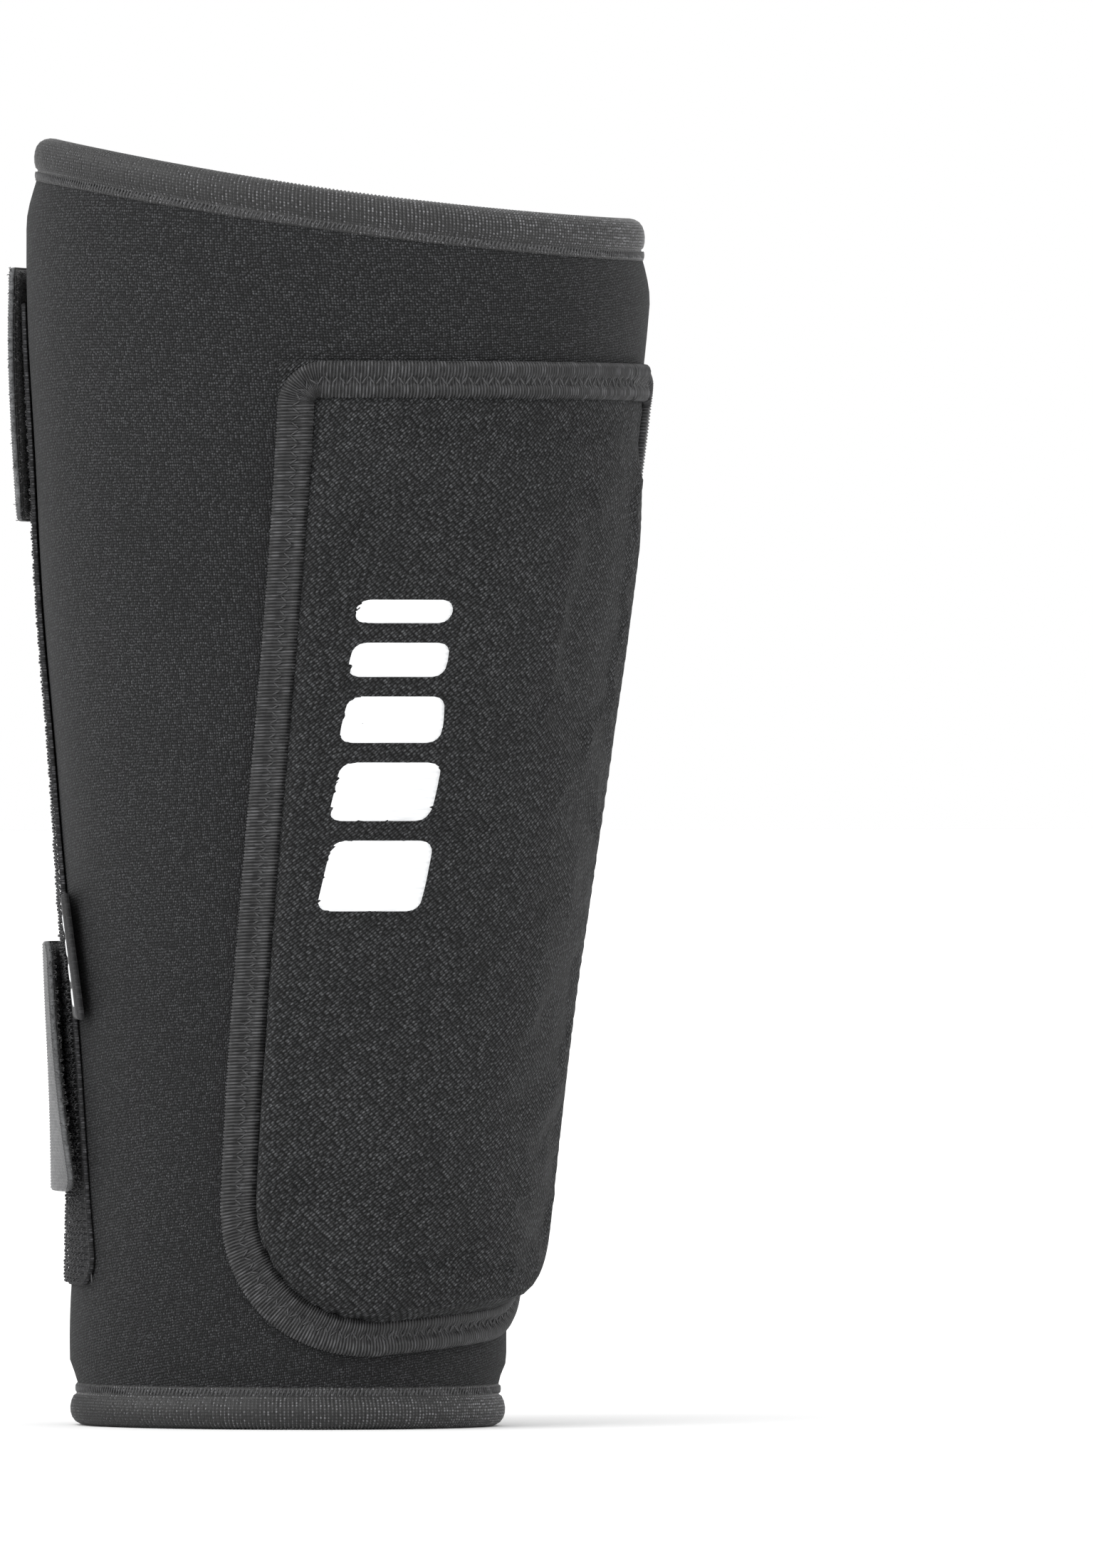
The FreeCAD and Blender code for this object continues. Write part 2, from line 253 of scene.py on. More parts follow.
def mesh_object(name, points, faces, corner_uvs=None, values=None):
    """Object from millimetre points. corner_uvs holds a UV for each face corner, values a number per point."""
    mesh = bpy.data.meshes.new(name)
    mesh.from_pydata([p * MM for p in points], [], faces)
    if corner_uvs:
        layer = mesh.uv_layers.new(name="cloth")
        layer.data.foreach_set("uv", [c for uv in corner_uvs for c in uv])
    for label, numbers in (values or {}).items():
        mesh.attributes.new(label, "FLOAT", "POINT").data.foreach_set("value", numbers)
    obj = bpy.data.objects.new(name, mesh)
    bpy.context.scene.collection.objects.link(obj)
    return obj


def tidy(obj):
    """Turns every face outwards and shades it. End caps stay flat and sharp, so halves meet without a seam."""
    work = bmesh.new()
    work.from_mesh(obj.data)
    bmesh.ops.recalc_face_normals(work, faces=work.faces)
    work.to_mesh(obj.data)
    work.free()
    for polygon in obj.data.polygons:
        polygon.use_smooth = polygon.loop_total < 5
        if not polygon.use_smooth:
            for corner in polygon.loop_indices:
                obj.data.edges[obj.data.loops[corner].edge_index].use_edge_sharp = True
    return obj


def swept(name, columns, us, vs, weights=None, close_path=False):
    """Closed tube: columns[i] is one loop of points at path length us[i]; vs runs round the loop."""
    n, m = len(columns), len(columns[0])
    points = [p for loop in columns for p in loop]
    faces, uvs = [], []
    for i in range(n if close_path else n - 1):
        k = (i + 1) % n
        for j in range(m):
            q = (j + 1) % m
            faces.append((i * m + j, k * m + j, k * m + q, i * m + q))
            v1 = vs[j + 1] if j + 1 < len(vs) else vs[j] + 0.5
            uvs += [(us[i], vs[j]), (us[i + 1], vs[j]), (us[i + 1], v1), (us[i], v1)]
    if not close_path:
        for i in (0, n - 1):
            faces.append(tuple(i * m + j for j in range(m)))
            uvs += [(us[i], vs[j]) for j in range(m)]
    values = {
        "along": [us[i] * MM for i in range(n) for _ in range(m)],
        "ribbed": [(weights or [1.0] * m)[j] for _ in range(n) for j in range(m)],
    }
    return tidy(mesh_object(name, points, faces, uvs, values))


def bent_sheet(name, place, us, vs, low, high, soft=1.0, ends=(1, 1, 1, 1)):
    """Closed sheet laid on a surface by place(u, v, out). Its edges are rounded over soft millimetres."""
    n, m = len(us), len(vs)

    def top(u, v):
        d = [u - us[0], us[-1] - u, v - vs[0], vs[-1] - v]
        nearest = min([x for x, wanted in zip(d, ends) if wanted] or [soft])
        return low + (high - low) * (0.35 + 0.65 * math.sqrt(max(0.0, 1 - (1 - min(1.0, nearest / soft)) ** 2)))

    points = [place(u, v, top(u, v)) for u in us for v in vs] + [place(u, v, low) for u in us for v in vs]
    faces, uvs = [], []
    for side in (0, n * m):
        for i in range(n - 1):
            for j in range(m - 1):
                a = side + i * m + j
                faces.append((a, a + m, a + m + 1, a + 1) if side else (a, a + 1, a + m + 1, a + m))
                corners = [(i, j), (i + 1, j), (i + 1, j + 1), (i, j + 1)]
                corners = corners if side else [corners[0], corners[3], corners[2], corners[1]]
                uvs += [(us[x], vs[y]) for x, y in corners]
    rim = [(i, 0) for i in range(n)] + [(n - 1, j) for j in range(1, m)]
    rim += [(i, m - 1) for i in range(n - 2, -1, -1)] + [(0, j) for j in range(m - 2, 0, -1)]
    for (i, j), (k, q) in zip(rim, rim[1:] + rim[:1]):
        a, b = i * m + j, k * m + q
        faces.append((a, b, n * m + b, n * m + a))
        uvs += [(us[i], vs[j]), (us[k], vs[q]), (us[k], vs[q]), (us[i], vs[j])]
    values = {"along": [v * MM for _ in range(2) for _ in us for v in vs]}
    values["ribbed"] = [1.0] * (n * m) + [0.0] * (n * m)
    return tidy(mesh_object(name, points, faces, uvs, values))


def with_edges(values, soft=1.0):
    """Values with extra ones close to both ends, so that a rounded edge has points to bend on."""
    first, last = values[0], values[-1]
    near = [soft * f for f in (0.12, 0.35, 0.7)]
    inner = [v for v in values if first + soft < v < last - soft]
    return [first] + [first + d for d in near] + inner + [last - d for d in reversed(near)] + [last]


# --- Node trees -------------------------------------------------------------------------------------------


def node(tree, kind, inputs=None, **settings):
    """Adds a node. Inputs are sockets to link or plain values, by name or number."""
    made = tree.nodes.new(kind)
    for key, value in settings.items():
        setattr(made, key, value)
    for key, value in (inputs or {}).items():
        if isinstance(value, bpy.types.NodeSocket):
            tree.links.new(value, made.inputs[key])
        else:
            made.inputs[key].default_value = value
    return made


def geometry_tree(name, sockets):
    """New geometry tree with named inputs; sockets is [(name, kind, default), ...]."""
    tree = bpy.data.node_groups.new(name, "GeometryNodeTree")
    tree.interface.new_socket("Geometry", in_out="INPUT", socket_type="NodeSocketGeometry")
    for label, kind, default in sockets:
        made = tree.interface.new_socket(label, in_out="INPUT", socket_type=f"NodeSocket{kind}")
        if default is not None:
            made.default_value = default
    tree.interface.new_socket("Geometry", in_out="OUTPUT", socket_type="NodeSocketGeometry")
    return tree, node(tree, "NodeGroupInput").outputs


def finish_tree(tree, geometry, material, shade_smooth=True):
    """Ends a tree in Realize Instances and Set Material."""
    real = node(tree, "GeometryNodeRealizeInstances", {"Geometry": geometry}).outputs[0]
    if shade_smooth:
        real = node(tree, "GeometryNodeSetShadeSmooth", {"Geometry": real}).outputs[0]
    painted = node(tree, "GeometryNodeSetMaterial", {"Geometry": real, "Material": material}).outputs[0]
    node(tree, "NodeGroupOutput", {"Geometry": painted})
    return tree


def rib_tree():
    """Raises ribs across a tape. It reads each point's length along the tape and its share of the height."""
    tree, given = geometry_tree(
        "Ribs", [("Pitch", "Float", 0.0008), ("Height", "Float", 0.0001), ("Material", "Material", None)]
    )
    along = node(tree, "GeometryNodeInputNamedAttribute", {"Name": "along"}, data_type="FLOAT").outputs[0]
    share = node(tree, "GeometryNodeInputNamedAttribute", {"Name": "ribbed"}, data_type="FLOAT").outputs[0]
    turns = node(tree, "ShaderNodeMath", {0: along, 1: given["Pitch"]}, operation="DIVIDE").outputs[0]
    turn = node(tree, "ShaderNodeMath", {0: turns, 1: math.tau}, operation="MULTIPLY").outputs[0]
    wave = node(tree, "ShaderNodeMath", {0: turn}, operation="COSINE").outputs[0]
    rise = node(tree, "ShaderNodeMath", {0: wave, 1: given["Height"]}, operation="MULTIPLY").outputs[0]
    rise = node(tree, "ShaderNodeMath", {0: rise, 1: share}, operation="MULTIPLY").outputs[0]
    normal = node(tree, "GeometryNodeInputNormal").outputs[0]
    offset = node(tree, "ShaderNodeVectorMath", {0: normal, "Scale": rise}, operation="SCALE").outputs[0]
    moved = node(tree, "GeometryNodeSetPosition", {"Geometry": given["Geometry"], "Offset": offset}).outputs[0]
    return finish_tree(tree, moved, given["Material"], shade_smooth=False)


def stitch_tree():
    """Lays short threads along a line of points, each turned by a slant, every second one the other way."""
    tree, given = geometry_tree(
        "Stitches",
        [
            ("Pitch", "Float", 0.0015), ("Length", "Float", 0.002), ("Thickness", "Float", 0.0004),
            ("Slant", "Float", 0.6), ("Alternate", "Float", 0.0), ("Material", "Material", None),
        ],
    )
    curve = node(tree, "GeometryNodeMeshToCurve", {"Mesh": given["Geometry"]}).outputs[0]
    curve = node(
        tree, "GeometryNodeResampleCurve", {"Curve": curve, "Length": given["Pitch"]}, mode="LENGTH"
    ).outputs[0]
    thread = node(tree, "GeometryNodeMeshUVSphere", {"Segments": 6, "Rings": 4, "Radius": 0.5}).outputs[0]
    lying = (0, math.pi / 2, 0)
    thread = node(tree, "GeometryNodeTransform", {"Geometry": thread, "Rotation": lying}).outputs[0]
    scale = node(
        tree, "ShaderNodeCombineXYZ", {0: given["Length"], 1: given["Thickness"], 2: given["Thickness"]}
    ).outputs[0]
    up = node(tree, "GeometryNodeInputNamedAttribute", {"Name": "up"}, data_type="FLOAT_VECTOR").outputs[0]
    tangent = node(tree, "GeometryNodeInputTangent").outputs[0]
    facing = node(
        tree, "FunctionNodeAxesToRotation", {0: up, 1: tangent}, primary_axis="Z", secondary_axis="X"
    ).outputs[0]
    index = node(tree, "GeometryNodeInputIndex").outputs[0]
    odd = node(tree, "ShaderNodeMath", {0: index, 1: 2.0}, operation="MODULO").outputs[0]
    odd = node(tree, "ShaderNodeMath", {0: odd, 1: given["Alternate"]}, operation="MULTIPLY").outputs[0]
    side = node(tree, "ShaderNodeMath", {0: odd, 1: -2.0, 2: 1.0}, operation="MULTIPLY_ADD").outputs[0]
    angle = node(tree, "ShaderNodeMath", {0: side, 1: given["Slant"]}, operation="MULTIPLY").outputs[0]
    turn = node(tree, "FunctionNodeAxisAngleToRotation", {"Axis": (0, 0, 1), "Angle": angle}).outputs[0]
    turned = node(
        tree, "FunctionNodeRotateRotation", {"Rotation": facing, "Rotate By": turn}, rotation_space="LOCAL"
    ).outputs[0]
    laid = node(
        tree,
        "GeometryNodeInstanceOnPoints",
        {"Points": curve, "Instance": thread, "Rotation": turned, "Scale": scale},
    ).outputs[0]
    return finish_tree(tree, laid, given["Material"])


def bristle_tree(name, on_points, lean, sides):
    """Stands bent bristles on a surface: on its own points, or scattered over its faces."""
    tree, given = geometry_tree(
        name,
        [
            ("Height", "Float", 0.0013), ("Thickness", "Float", 0.00025), ("Density", "Float", 500000.0),
            ("Seed", "Int", 7), ("Material", "Material", None),
        ],
    )
    bend = node(
        tree,
        "GeometryNodeCurvePrimitiveBezierSegment",
        {"Resolution": 4, "Start": (0, 0, -0.1), "Start Handle": (-0.1, 0, 0.95), "End Handle": (lean, 0, 1.3),
         "End": (lean, 0, 0.55)},
    ).outputs[0]
    thick, tall = given["Thickness"], given["Height"]
    half = node(tree, "ShaderNodeMath", {0: thick, 1: tall}, operation="DIVIDE").outputs[0]
    half = node(tree, "ShaderNodeMath", {0: half, 1: 0.5}, operation="MULTIPLY").outputs[0]
    ring = node(tree, "GeometryNodeCurvePrimitiveCircle", {"Resolution": sides, "Radius": half}).outputs[0]
    bristle = node(
        tree, "GeometryNodeCurveToMesh", {"Curve": bend, "Profile Curve": ring, "Fill Caps": True}
    ).outputs[0]
    if on_points:
        points = given["Geometry"]
        up = node(tree, "GeometryNodeInputNamedAttribute", {"Name": "up"}, data_type="FLOAT_VECTOR").outputs[0]
        spin = (-0.5, 0.5)
    else:
        scattered = node(
            tree,
            "GeometryNodeDistributePointsOnFaces",
            {"Mesh": given["Geometry"], "Density": given["Density"], "Seed": given["Seed"]},
        )
        points, up, spin = scattered.outputs[0], scattered.outputs[1], (-math.pi, math.pi)
    facing = node(
        tree, "FunctionNodeAxesToRotation", {0: up, 1: (0, 0, 1)}, primary_axis="Z", secondary_axis="X"
    ).outputs[0]
    angle = node(tree, "FunctionNodeRandomValue", {2: spin[0], 3: spin[1], "Seed": given["Seed"]}).outputs[1]
    if on_points:
        index = node(tree, "GeometryNodeInputIndex").outputs[0]
        odd = node(tree, "ShaderNodeMath", {0: index, 1: 2.0}, operation="MODULO").outputs[0]
        turned_about = {0: odd, 1: math.pi, 2: angle}
        angle = node(tree, "ShaderNodeMath", turned_about, operation="MULTIPLY_ADD").outputs[0]
    turn = node(tree, "FunctionNodeAxisAngleToRotation", {"Axis": (0, 0, 1), "Angle": angle}).outputs[0]
    turned = node(
        tree, "FunctionNodeRotateRotation", {"Rotation": facing, "Rotate By": turn}, rotation_space="LOCAL"
    ).outputs[0]
    vary = node(tree, "FunctionNodeRandomValue", {2: 0.75, 3: 1.1, "Seed": given["Seed"]}).outputs[1]
    scale = node(tree, "ShaderNodeMath", {0: vary, 1: given["Height"]}, operation="MULTIPLY").outputs[0]
    stood = node(
        tree,
        "GeometryNodeInstanceOnPoints",
        {"Points": points, "Instance": bristle, "Rotation": turned, "Scale": scale},
    ).outputs[0]
    return finish_tree(tree, stood, given["Material"])


def grown(obj, tree, inputs):
    """Runs a geometry tree on an object and keeps the result as its plain mesh."""
    modifier = obj.modifiers.new(tree.name, "NODES")
    modifier.node_group = tree
    for item in tree.interface.items_tree:
        if item.item_type == "SOCKET" and item.in_out == "INPUT" and item.name in inputs:
            modifier[item.identifier] = inputs[item.name]
    bpy.context.view_layer.update()
    evaluated = obj.evaluated_get(bpy.context.evaluated_depsgraph_get())
    mesh = bpy.data.meshes.new_from_object(evaluated)
    obj.modifiers.clear()
    old, obj.data = obj.data, mesh
    mesh.name = old.name
    bpy.data.meshes.remove(old)
    if not obj.data.polygons:
        raise RuntimeError(f"{obj.name}: {tree.name} made nothing")
    return obj


def tree_named(name):
    """The geometry tree of that name, made the first time it is asked for."""
    makers = {
        "Ribs": rib_tree,
        "Stitches": stitch_tree,
        "Hooks": lambda: bristle_tree("Hooks", True, 0.55, 4),
        "Loops": lambda: bristle_tree("Loops", False, 0.9, 3),
    }
    return bpy.data.node_groups.get(name) or makers[name]()


# --- Materials --------------------------------------------------------------------------------------------


def surface(name):
    """New material with its tree, shader and texture sources."""
    material = bpy.data.materials.new(name)
    material.use_nodes = True
    tree = material.node_tree
    shader = tree.nodes["Principled BSDF"]
    coordinates = node(tree, "ShaderNodeTexCoord").outputs["Object"]
    cloth = node(tree, "ShaderNodeUVMap", uv_map="cloth").outputs[0]
    return material, tree, shader, coordinates, cloth


def lattice_of(tree, vector, cell, turn=0.0, start=(0.0, 0.0, 0.0)):
    """Coordinates counted in cells of a size, after a turn."""
    return node(
        tree,
        "ShaderNodeMapping",
        {"Vector": vector, "Location": start, "Rotation": (0, 0, turn), "Scale": cell},
        vector_type="TEXTURE",
    ).outputs[0]


def mixed_colour(tree, factor, first, second):
    """Mix node's colour output between two colours."""
    mix = node(tree, "ShaderNodeMix", {0: factor}, data_type="RGBA")
    for socket, value in ((mix.inputs[6], first), (mix.inputs[7], second)):
        if isinstance(value, bpy.types.NodeSocket):
            tree.links.new(value, socket)
        else:
            socket.default_value = value
    return mix.outputs[2]


def shade(rgb, factor):
    return (*[min(1.0, c * factor) for c in rgb], 1.0)


def knit(name, rgb, cell, turn, low, high, gap, bump, sheen, spot=0.52, on_cloth=True):
    """Knitted cloth: a lattice of stitches of random tone, most of them dark and a few bright as painted
    glints, with painted shade in the gaps between them.
    """
    material, tree, shader, coordinates, cloth = surface(name)
    source, unit = (cloth, 1.0) if on_cloth else (coordinates, MM)
    lattice = lattice_of(tree, source, (cell[0] * unit, cell[1] * unit, unit), turn)
    cells = node(
        tree, "ShaderNodeTexVoronoi", {"Vector": lattice, "Scale": 1.0, "Randomness": 0.4}, feature="F1",
        voronoi_dimensions="2D" if on_cloth else "3D",
    )
    chance = node(tree, "ShaderNodeSeparateColor", {0: cells.outputs["Color"]}).outputs[0]
    distance = cells.outputs["Distance"]
    # dome is high in the middle of each stitch and low in the gaps, which get painted shade.
    dome = node(tree, "ShaderNodeMapRange", {0: distance, 1: 0.08, 2: spot, 3: 1.0, 4: 0.0}).outputs[0]
    fine = node(tree, "ShaderNodeTexNoise", {"Vector": coordinates, "Scale": 2600.0, "Detail": 2.0}).outputs[0]
    slow = node(tree, "ShaderNodeTexNoise", {"Vector": coordinates, "Scale": 26.0, "Detail": 3.0}).outputs[0]
    # Random stitch tone, squared so that only a few stitches come out bright: these stand for painted glints.
    # lit adds the painted shade in the gaps.
    chance = node(tree, "ShaderNodeMath", {0: chance, 1: 2.0}, operation="POWER").outputs[0]
    tone = mixed_colour(tree, chance, shade(rgb, low), shade(rgb, high))
    lit = mixed_colour(tree, dome, shade(rgb, gap), tone)
    grain = node(tree, "ShaderNodeMapRange", {0: fine, 1: 0.3, 2: 0.7, 3: 0.4, 4: 1.6}).outputs[0]
    cloudy = node(tree, "ShaderNodeMapRange", {0: slow, 1: 0.3, 2: 0.7, 3: 0.92, 4: 1.08}).outputs[0]
    value = node(tree, "ShaderNodeMath", {0: grain, 1: cloudy}, operation="MULTIPLY").outputs[0]
    hsv = node(tree, "ShaderNodeHueSaturation", {"Color": lit, "Value": value}).outputs[0]
    tree.links.new(hsv, shader.inputs["Base Color"])
    height = node(tree, "ShaderNodeMath", {0: fine, 1: 0.6, 2: dome}, operation="MULTIPLY_ADD").outputs[0]
    relief = node(tree, "ShaderNodeBump", {"Strength": bump, "Distance": 0.0002, "Height": height}).outputs[0]
    tree.links.new(relief, shader.inputs["Normal"])
    rough = node(tree, "ShaderNodeMapRange", {0: fine, 1: 0.3, 2: 0.7, 3: 0.68, 4: 0.9}).outputs[0]
    tree.links.new(rough, shader.inputs["Roughness"])
    shader.inputs["Sheen Weight"].default_value = sheen
    shader.inputs["Sheen Roughness"].default_value = 0.4
    shader.inputs["Specular IOR Level"].default_value = 0.2
    return material


def ribbed(name, rgb, pitch, bead, low=0.5, high=2.0, gap=0.2, bump=0.6, gloss=0.4, beads=1.0):
    """Woven tape: each rib has a painted highlight along its crest and painted shade in its troughs, and, as
    far as beads says, is broken into beads whose brightest stand for painted glints.
    """
    material, tree, shader, coordinates, cloth = surface(name)
    lattice = lattice_of(tree, cloth, (pitch, bead, 1.0), start=(pitch / 2, 0.0, 0.0))
    cells = node(
        tree, "ShaderNodeTexVoronoi", {"Vector": lattice, "Scale": 1.0, "Randomness": 0.25}, feature="F1",
        voronoi_dimensions="2D",
    )
    chance = node(tree, "ShaderNodeSeparateColor", {0: cells.outputs["Color"]}).outputs[0]
    distance = cells.outputs["Distance"]
    dome = node(tree, "ShaderNodeMapRange", {0: distance, 1: 0.05, 2: 0.5, 3: beads, 4: 0.0}).outputs[0]
    dome = node(tree, "ShaderNodeMath", {0: dome, 1: 1.0 - beads}, operation="ADD").outputs[0]
    # Painted light: crest is 1 along each rib's crest, which is painted bright, and 0 in the troughs, which are
    # painted dark.
    counted = node(tree, "ShaderNodeSeparateXYZ", {0: cloth}).outputs[0]
    counted = node(tree, "ShaderNodeMath", {0: counted, 1: pitch}, operation="DIVIDE").outputs[0]
    off_crest = node(tree, "ShaderNodeMath", {0: counted, 1: 0.5}, operation="PINGPONG").outputs[0]
    crest = node(tree, "ShaderNodeMapRange", {0: off_crest, 1: 0.12, 2: 0.44, 3: 1.0, 4: 0.0}).outputs[0]
    dome = node(tree, "ShaderNodeMath", {0: dome, 1: crest}, operation="MULTIPLY").outputs[0]
    chance = node(tree, "ShaderNodeMath", {0: chance, 1: 2.0}, operation="POWER").outputs[0]
    tone = mixed_colour(tree, chance, shade(rgb, low), shade(rgb, high))
    # Painted shade (gap) in the troughs and between beads, painted highlight on the crests and brightest beads.
    beads_with_painted_light = mixed_colour(tree, dome, shade(rgb, gap), tone)
    slow = node(tree, "ShaderNodeTexNoise", {"Vector": coordinates, "Scale": 60.0, "Detail": 3.0}).outputs[0]
    cloudy = node(tree, "ShaderNodeMapRange", {0: slow, 1: 0.3, 2: 0.7, 3: 0.8, 4: 1.2}).outputs[0]
    hsv = node(tree, "ShaderNodeHueSaturation", {"Color": beads_with_painted_light, "Value": cloudy}).outputs[0]
    tree.links.new(hsv, shader.inputs["Base Color"])
    fine = node(tree, "ShaderNodeTexNoise", {"Vector": coordinates, "Scale": 3000.0, "Detail": 2.0}).outputs[0]
    height = node(tree, "ShaderNodeMath", {0: fine, 1: 0.4, 2: dome}, operation="MULTIPLY_ADD").outputs[0]
    relief = node(tree, "ShaderNodeBump", {"Strength": bump, "Distance": 0.0002, "Height": height}).outputs[0]
    tree.links.new(relief, shader.inputs["Normal"])
    rough = node(tree, "ShaderNodeMapRange", {0: chance, 3: 0.42, 4: 0.7}).outputs[0]
    tree.links.new(rough, shader.inputs["Roughness"])
    shader.inputs["Sheen Weight"].default_value = 0.1
    shader.inputs["Specular IOR Level"].default_value = gloss
    return material


def fibre(name, rgb, roughness=0.5, sheen=0.1, variation=0.3, grain=1500.0):
    """Thread, hooks or loops: plain fibre whose tone drifts from one to the next."""
    material, tree, shader, coordinates, _ = surface(name)
    drift = node(tree, "ShaderNodeTexNoise", {"Vector": coordinates, "Scale": grain, "Detail": 2.0}).outputs[0]
    tone = node(tree, "ShaderNodeMapRange", {0: drift, 1: 0.35, 2: 0.65}).outputs[0]
    both = mixed_colour(tree, tone, shade(rgb, 1 - variation), shade(rgb, 1 + variation))
    tree.links.new(both, shader.inputs["Base Color"])
    relief = node(tree, "ShaderNodeBump", {"Strength": 0.3, "Distance": 0.0001, "Height": drift}).outputs[0]
    tree.links.new(relief, shader.inputs["Normal"])
    rough = node(tree, "ShaderNodeMapRange", {0: drift, 3: roughness - 0.1, 4: roughness + 0.1}).outputs[0]
    tree.links.new(rough, shader.inputs["Roughness"])
    shader.inputs["Sheen Weight"].default_value = sheen
    return material


def ink(name, rgb):
    """Screen print thick enough to hide the cloth but not its grain."""
    material, tree, shader, coordinates, cloth = surface(name)
    lattice = lattice_of(tree, cloth, (0.8, 0.8, 1.0), 0.7)
    cells = node(
        tree, "ShaderNodeTexVoronoi", {"Vector": lattice, "Scale": 1.0, "Randomness": 0.5},
        voronoi_dimensions="2D",
    )
    distance = cells.outputs["Distance"]
    dome = node(tree, "ShaderNodeMapRange", {0: distance, 1: 0.1, 2: 0.8, 3: 1.0, 4: 0.0}).outputs[0]
    tone = mixed_colour(tree, dome, shade(rgb, 0.80), shade(rgb, 1.0))
    tree.links.new(tone, shader.inputs["Base Color"])
    relief = node(tree, "ShaderNodeBump", {"Strength": 0.5, "Distance": 0.0002, "Height": dome}).outputs[0]
    tree.links.new(relief, shader.inputs["Normal"])
    slow = node(tree, "ShaderNodeTexNoise", {"Vector": coordinates, "Scale": 300.0}).outputs[0]
    rough = node(tree, "ShaderNodeMapRange", {0: slow, 3: 0.5, 4: 0.65}).outputs[0]
    tree.links.new(rough, shader.inputs["Roughness"])
    return material


def material_named(name):
    """The guard's material of that name, made the first time it is asked for."""
    if name in bpy.data.materials:
        return bpy.data.materials[name]
    c = bpy.context.scene.shin_guard_colours
    s = bpy.context.scene.shin_guard_sizes
    makers = {
        # In the knits, gap is painted shade between stitches and high is the tone of the few bright stitches
        # that stand for painted glints.
        "neoprene_jersey": lambda n: knit(n, c.neoprene, (0.50, 0.54), 0.12, 1.1, 3.4, 0.2, 0.9, 0.02),
        "neoprene_lining": lambda n: knit(
            n, c.lining, (0.7, 0.7), 0.0, 0.6, 2.2, 0.4, 0.5, 0.05, on_cloth=False
        ),
        "pad_knit": lambda n: knit(n, c.pad_cloth, (0.86, 0.52), 0.75, 1.2, 3.8, 0.12, 1.0, 0.02, 0.55),
        # In the ribbed tapes, gap is painted shade in the troughs; the hem's high bead tone stands for painted
        # highlights on its ribs.
        "hem_rib": lambda n: ribbed(n, c.tape, s.hem_rib_pitch / MM, 0.62, 2.4, 8.5, 0.03, 0.8, 0.5),
        "pad_rib": lambda n: ribbed(n, c.tape, s.tape_rib_pitch / MM, 1.6, 1.0, 3.2, 0.04, 0.6, 0.4, 0.4),
        "strap_rib": lambda n: ribbed(n, c.elastic, 0.9, 0.7, 0.9, 1.6, 0.35, 0.5, 0.4, 0.3),
        "sewing_thread": lambda n: fibre(n, c.thread, 0.5, 0.2),
        "hook_plastic": lambda n: fibre(n, c.hooks, 0.4, 0.0, 0.5),
        "hook_ground": lambda n: knit(n, c.hooks, (0.6, 0.5), 0.0, 0.6, 2.8, 0.3, 0.6, 0.02),
        "loop_pile": lambda n: fibre(n, c.pile, 0.6, 0.3, 0.7),
        "white_ink": lambda n: ink(n, c.print_ink),
        "label_weave": lambda n: ribbed(n, c.hooks, 0.35, 0.35, 0.5, 2.0, 0.4, 0.5),
        "shield_plastic": lambda n: fibre(n, c.shield, 0.35, 0.0, 0.1, 300.0),
        "foam_sheet": lambda n: fibre(n, c.foam, 0.85, 0.1, 0.2, 900.0),
        "studio_floor": lambda n: fibre(n, c.floor, 0.8, 0.0, 0.01, 3.0),
    }
    return makers[name](name)


def dress(obj, material, slot_name, body, *nodes):
    """Gives a finished piece its material and hides the CAD nodes it stands for. A body given by name gets the
    piece attached; for any other body only the piece's transform is baked.
    """
    wanted = material_named(material)
    if obj.data.materials:
        obj.data.materials[0] = wanted
    else:
        obj.data.materials.append(wanted)
    if nodes:
        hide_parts(*nodes)
    if isinstance(body, str):
        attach(obj, body)
    else:
        across = Vector(body[2]).normalized() * body[4]
        middle = Vector(body[3])
        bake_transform(obj)
    return obj


FLAP = ("shell", "medial_flap", BEND_ACROSS, BEND_AT, BEND_REACH)


def guided(name, points, ups, edges=()):
    """Object of bare millimetre points, each with its way out of the cloth, for a tree to build on."""
    mesh = bpy.data.meshes.new(name)
    mesh.from_pydata([p * MM for p in points], edges, [])
    ways = mesh.attributes.new("up", "FLOAT_VECTOR", "POINT")
    ways.data.foreach_set("vector", [c for up in ups for c in up])
    obj = bpy.data.objects.new(name, mesh)
    bpy.context.scene.collection.objects.link(obj)
    return obj


def stitched(name, points, ups, pitch, length, slant, alternate=0.0, thickness=None):
    """Row of stitches along millimetre points, lying on the surface whose outward ways are ups."""
    obj = guided(name, points, ups, [(i, i + 1) for i in range(len(points) - 1)])
    sizes = bpy.context.scene.shin_guard_sizes
    return grown(
        obj,
        tree_named("Stitches"),
        {
            "Pitch": pitch * MM, "Length": length * MM, "Thickness": thickness or sizes.stitch_thickness,
            "Slant": slant, "Alternate": alternate, "Material": material_named("sewing_thread"),
        },
    )


def outward(angle, z):
    """Way out of the sleeve's face."""
    return (on_sleeve(angle, z, 1.0) - on_sleeve(angle, z, 0.0)).normalized()


def joined(objects, name):
    """One object from several."""
    work = bmesh.new()
    for obj in objects:
        work.from_mesh(obj.data)
    mesh = bpy.data.meshes.new(name)
    work.to_mesh(mesh)
    work.free()
    for obj in objects:
        bpy.data.objects.remove(obj)
    whole = bpy.data.objects.new(name, mesh)
    bpy.context.scene.collection.objects.link(whole)
    return whole


# --- Pieces -----------------------------------------------------------------------------------------------


class GuardStep:
    """What every building step shares."""

    bl_options = {"REGISTER", "UNDO"}

    def execute(self, context):
        self.build(context.scene.shin_guard_sizes)
        return {"FINISHED"}


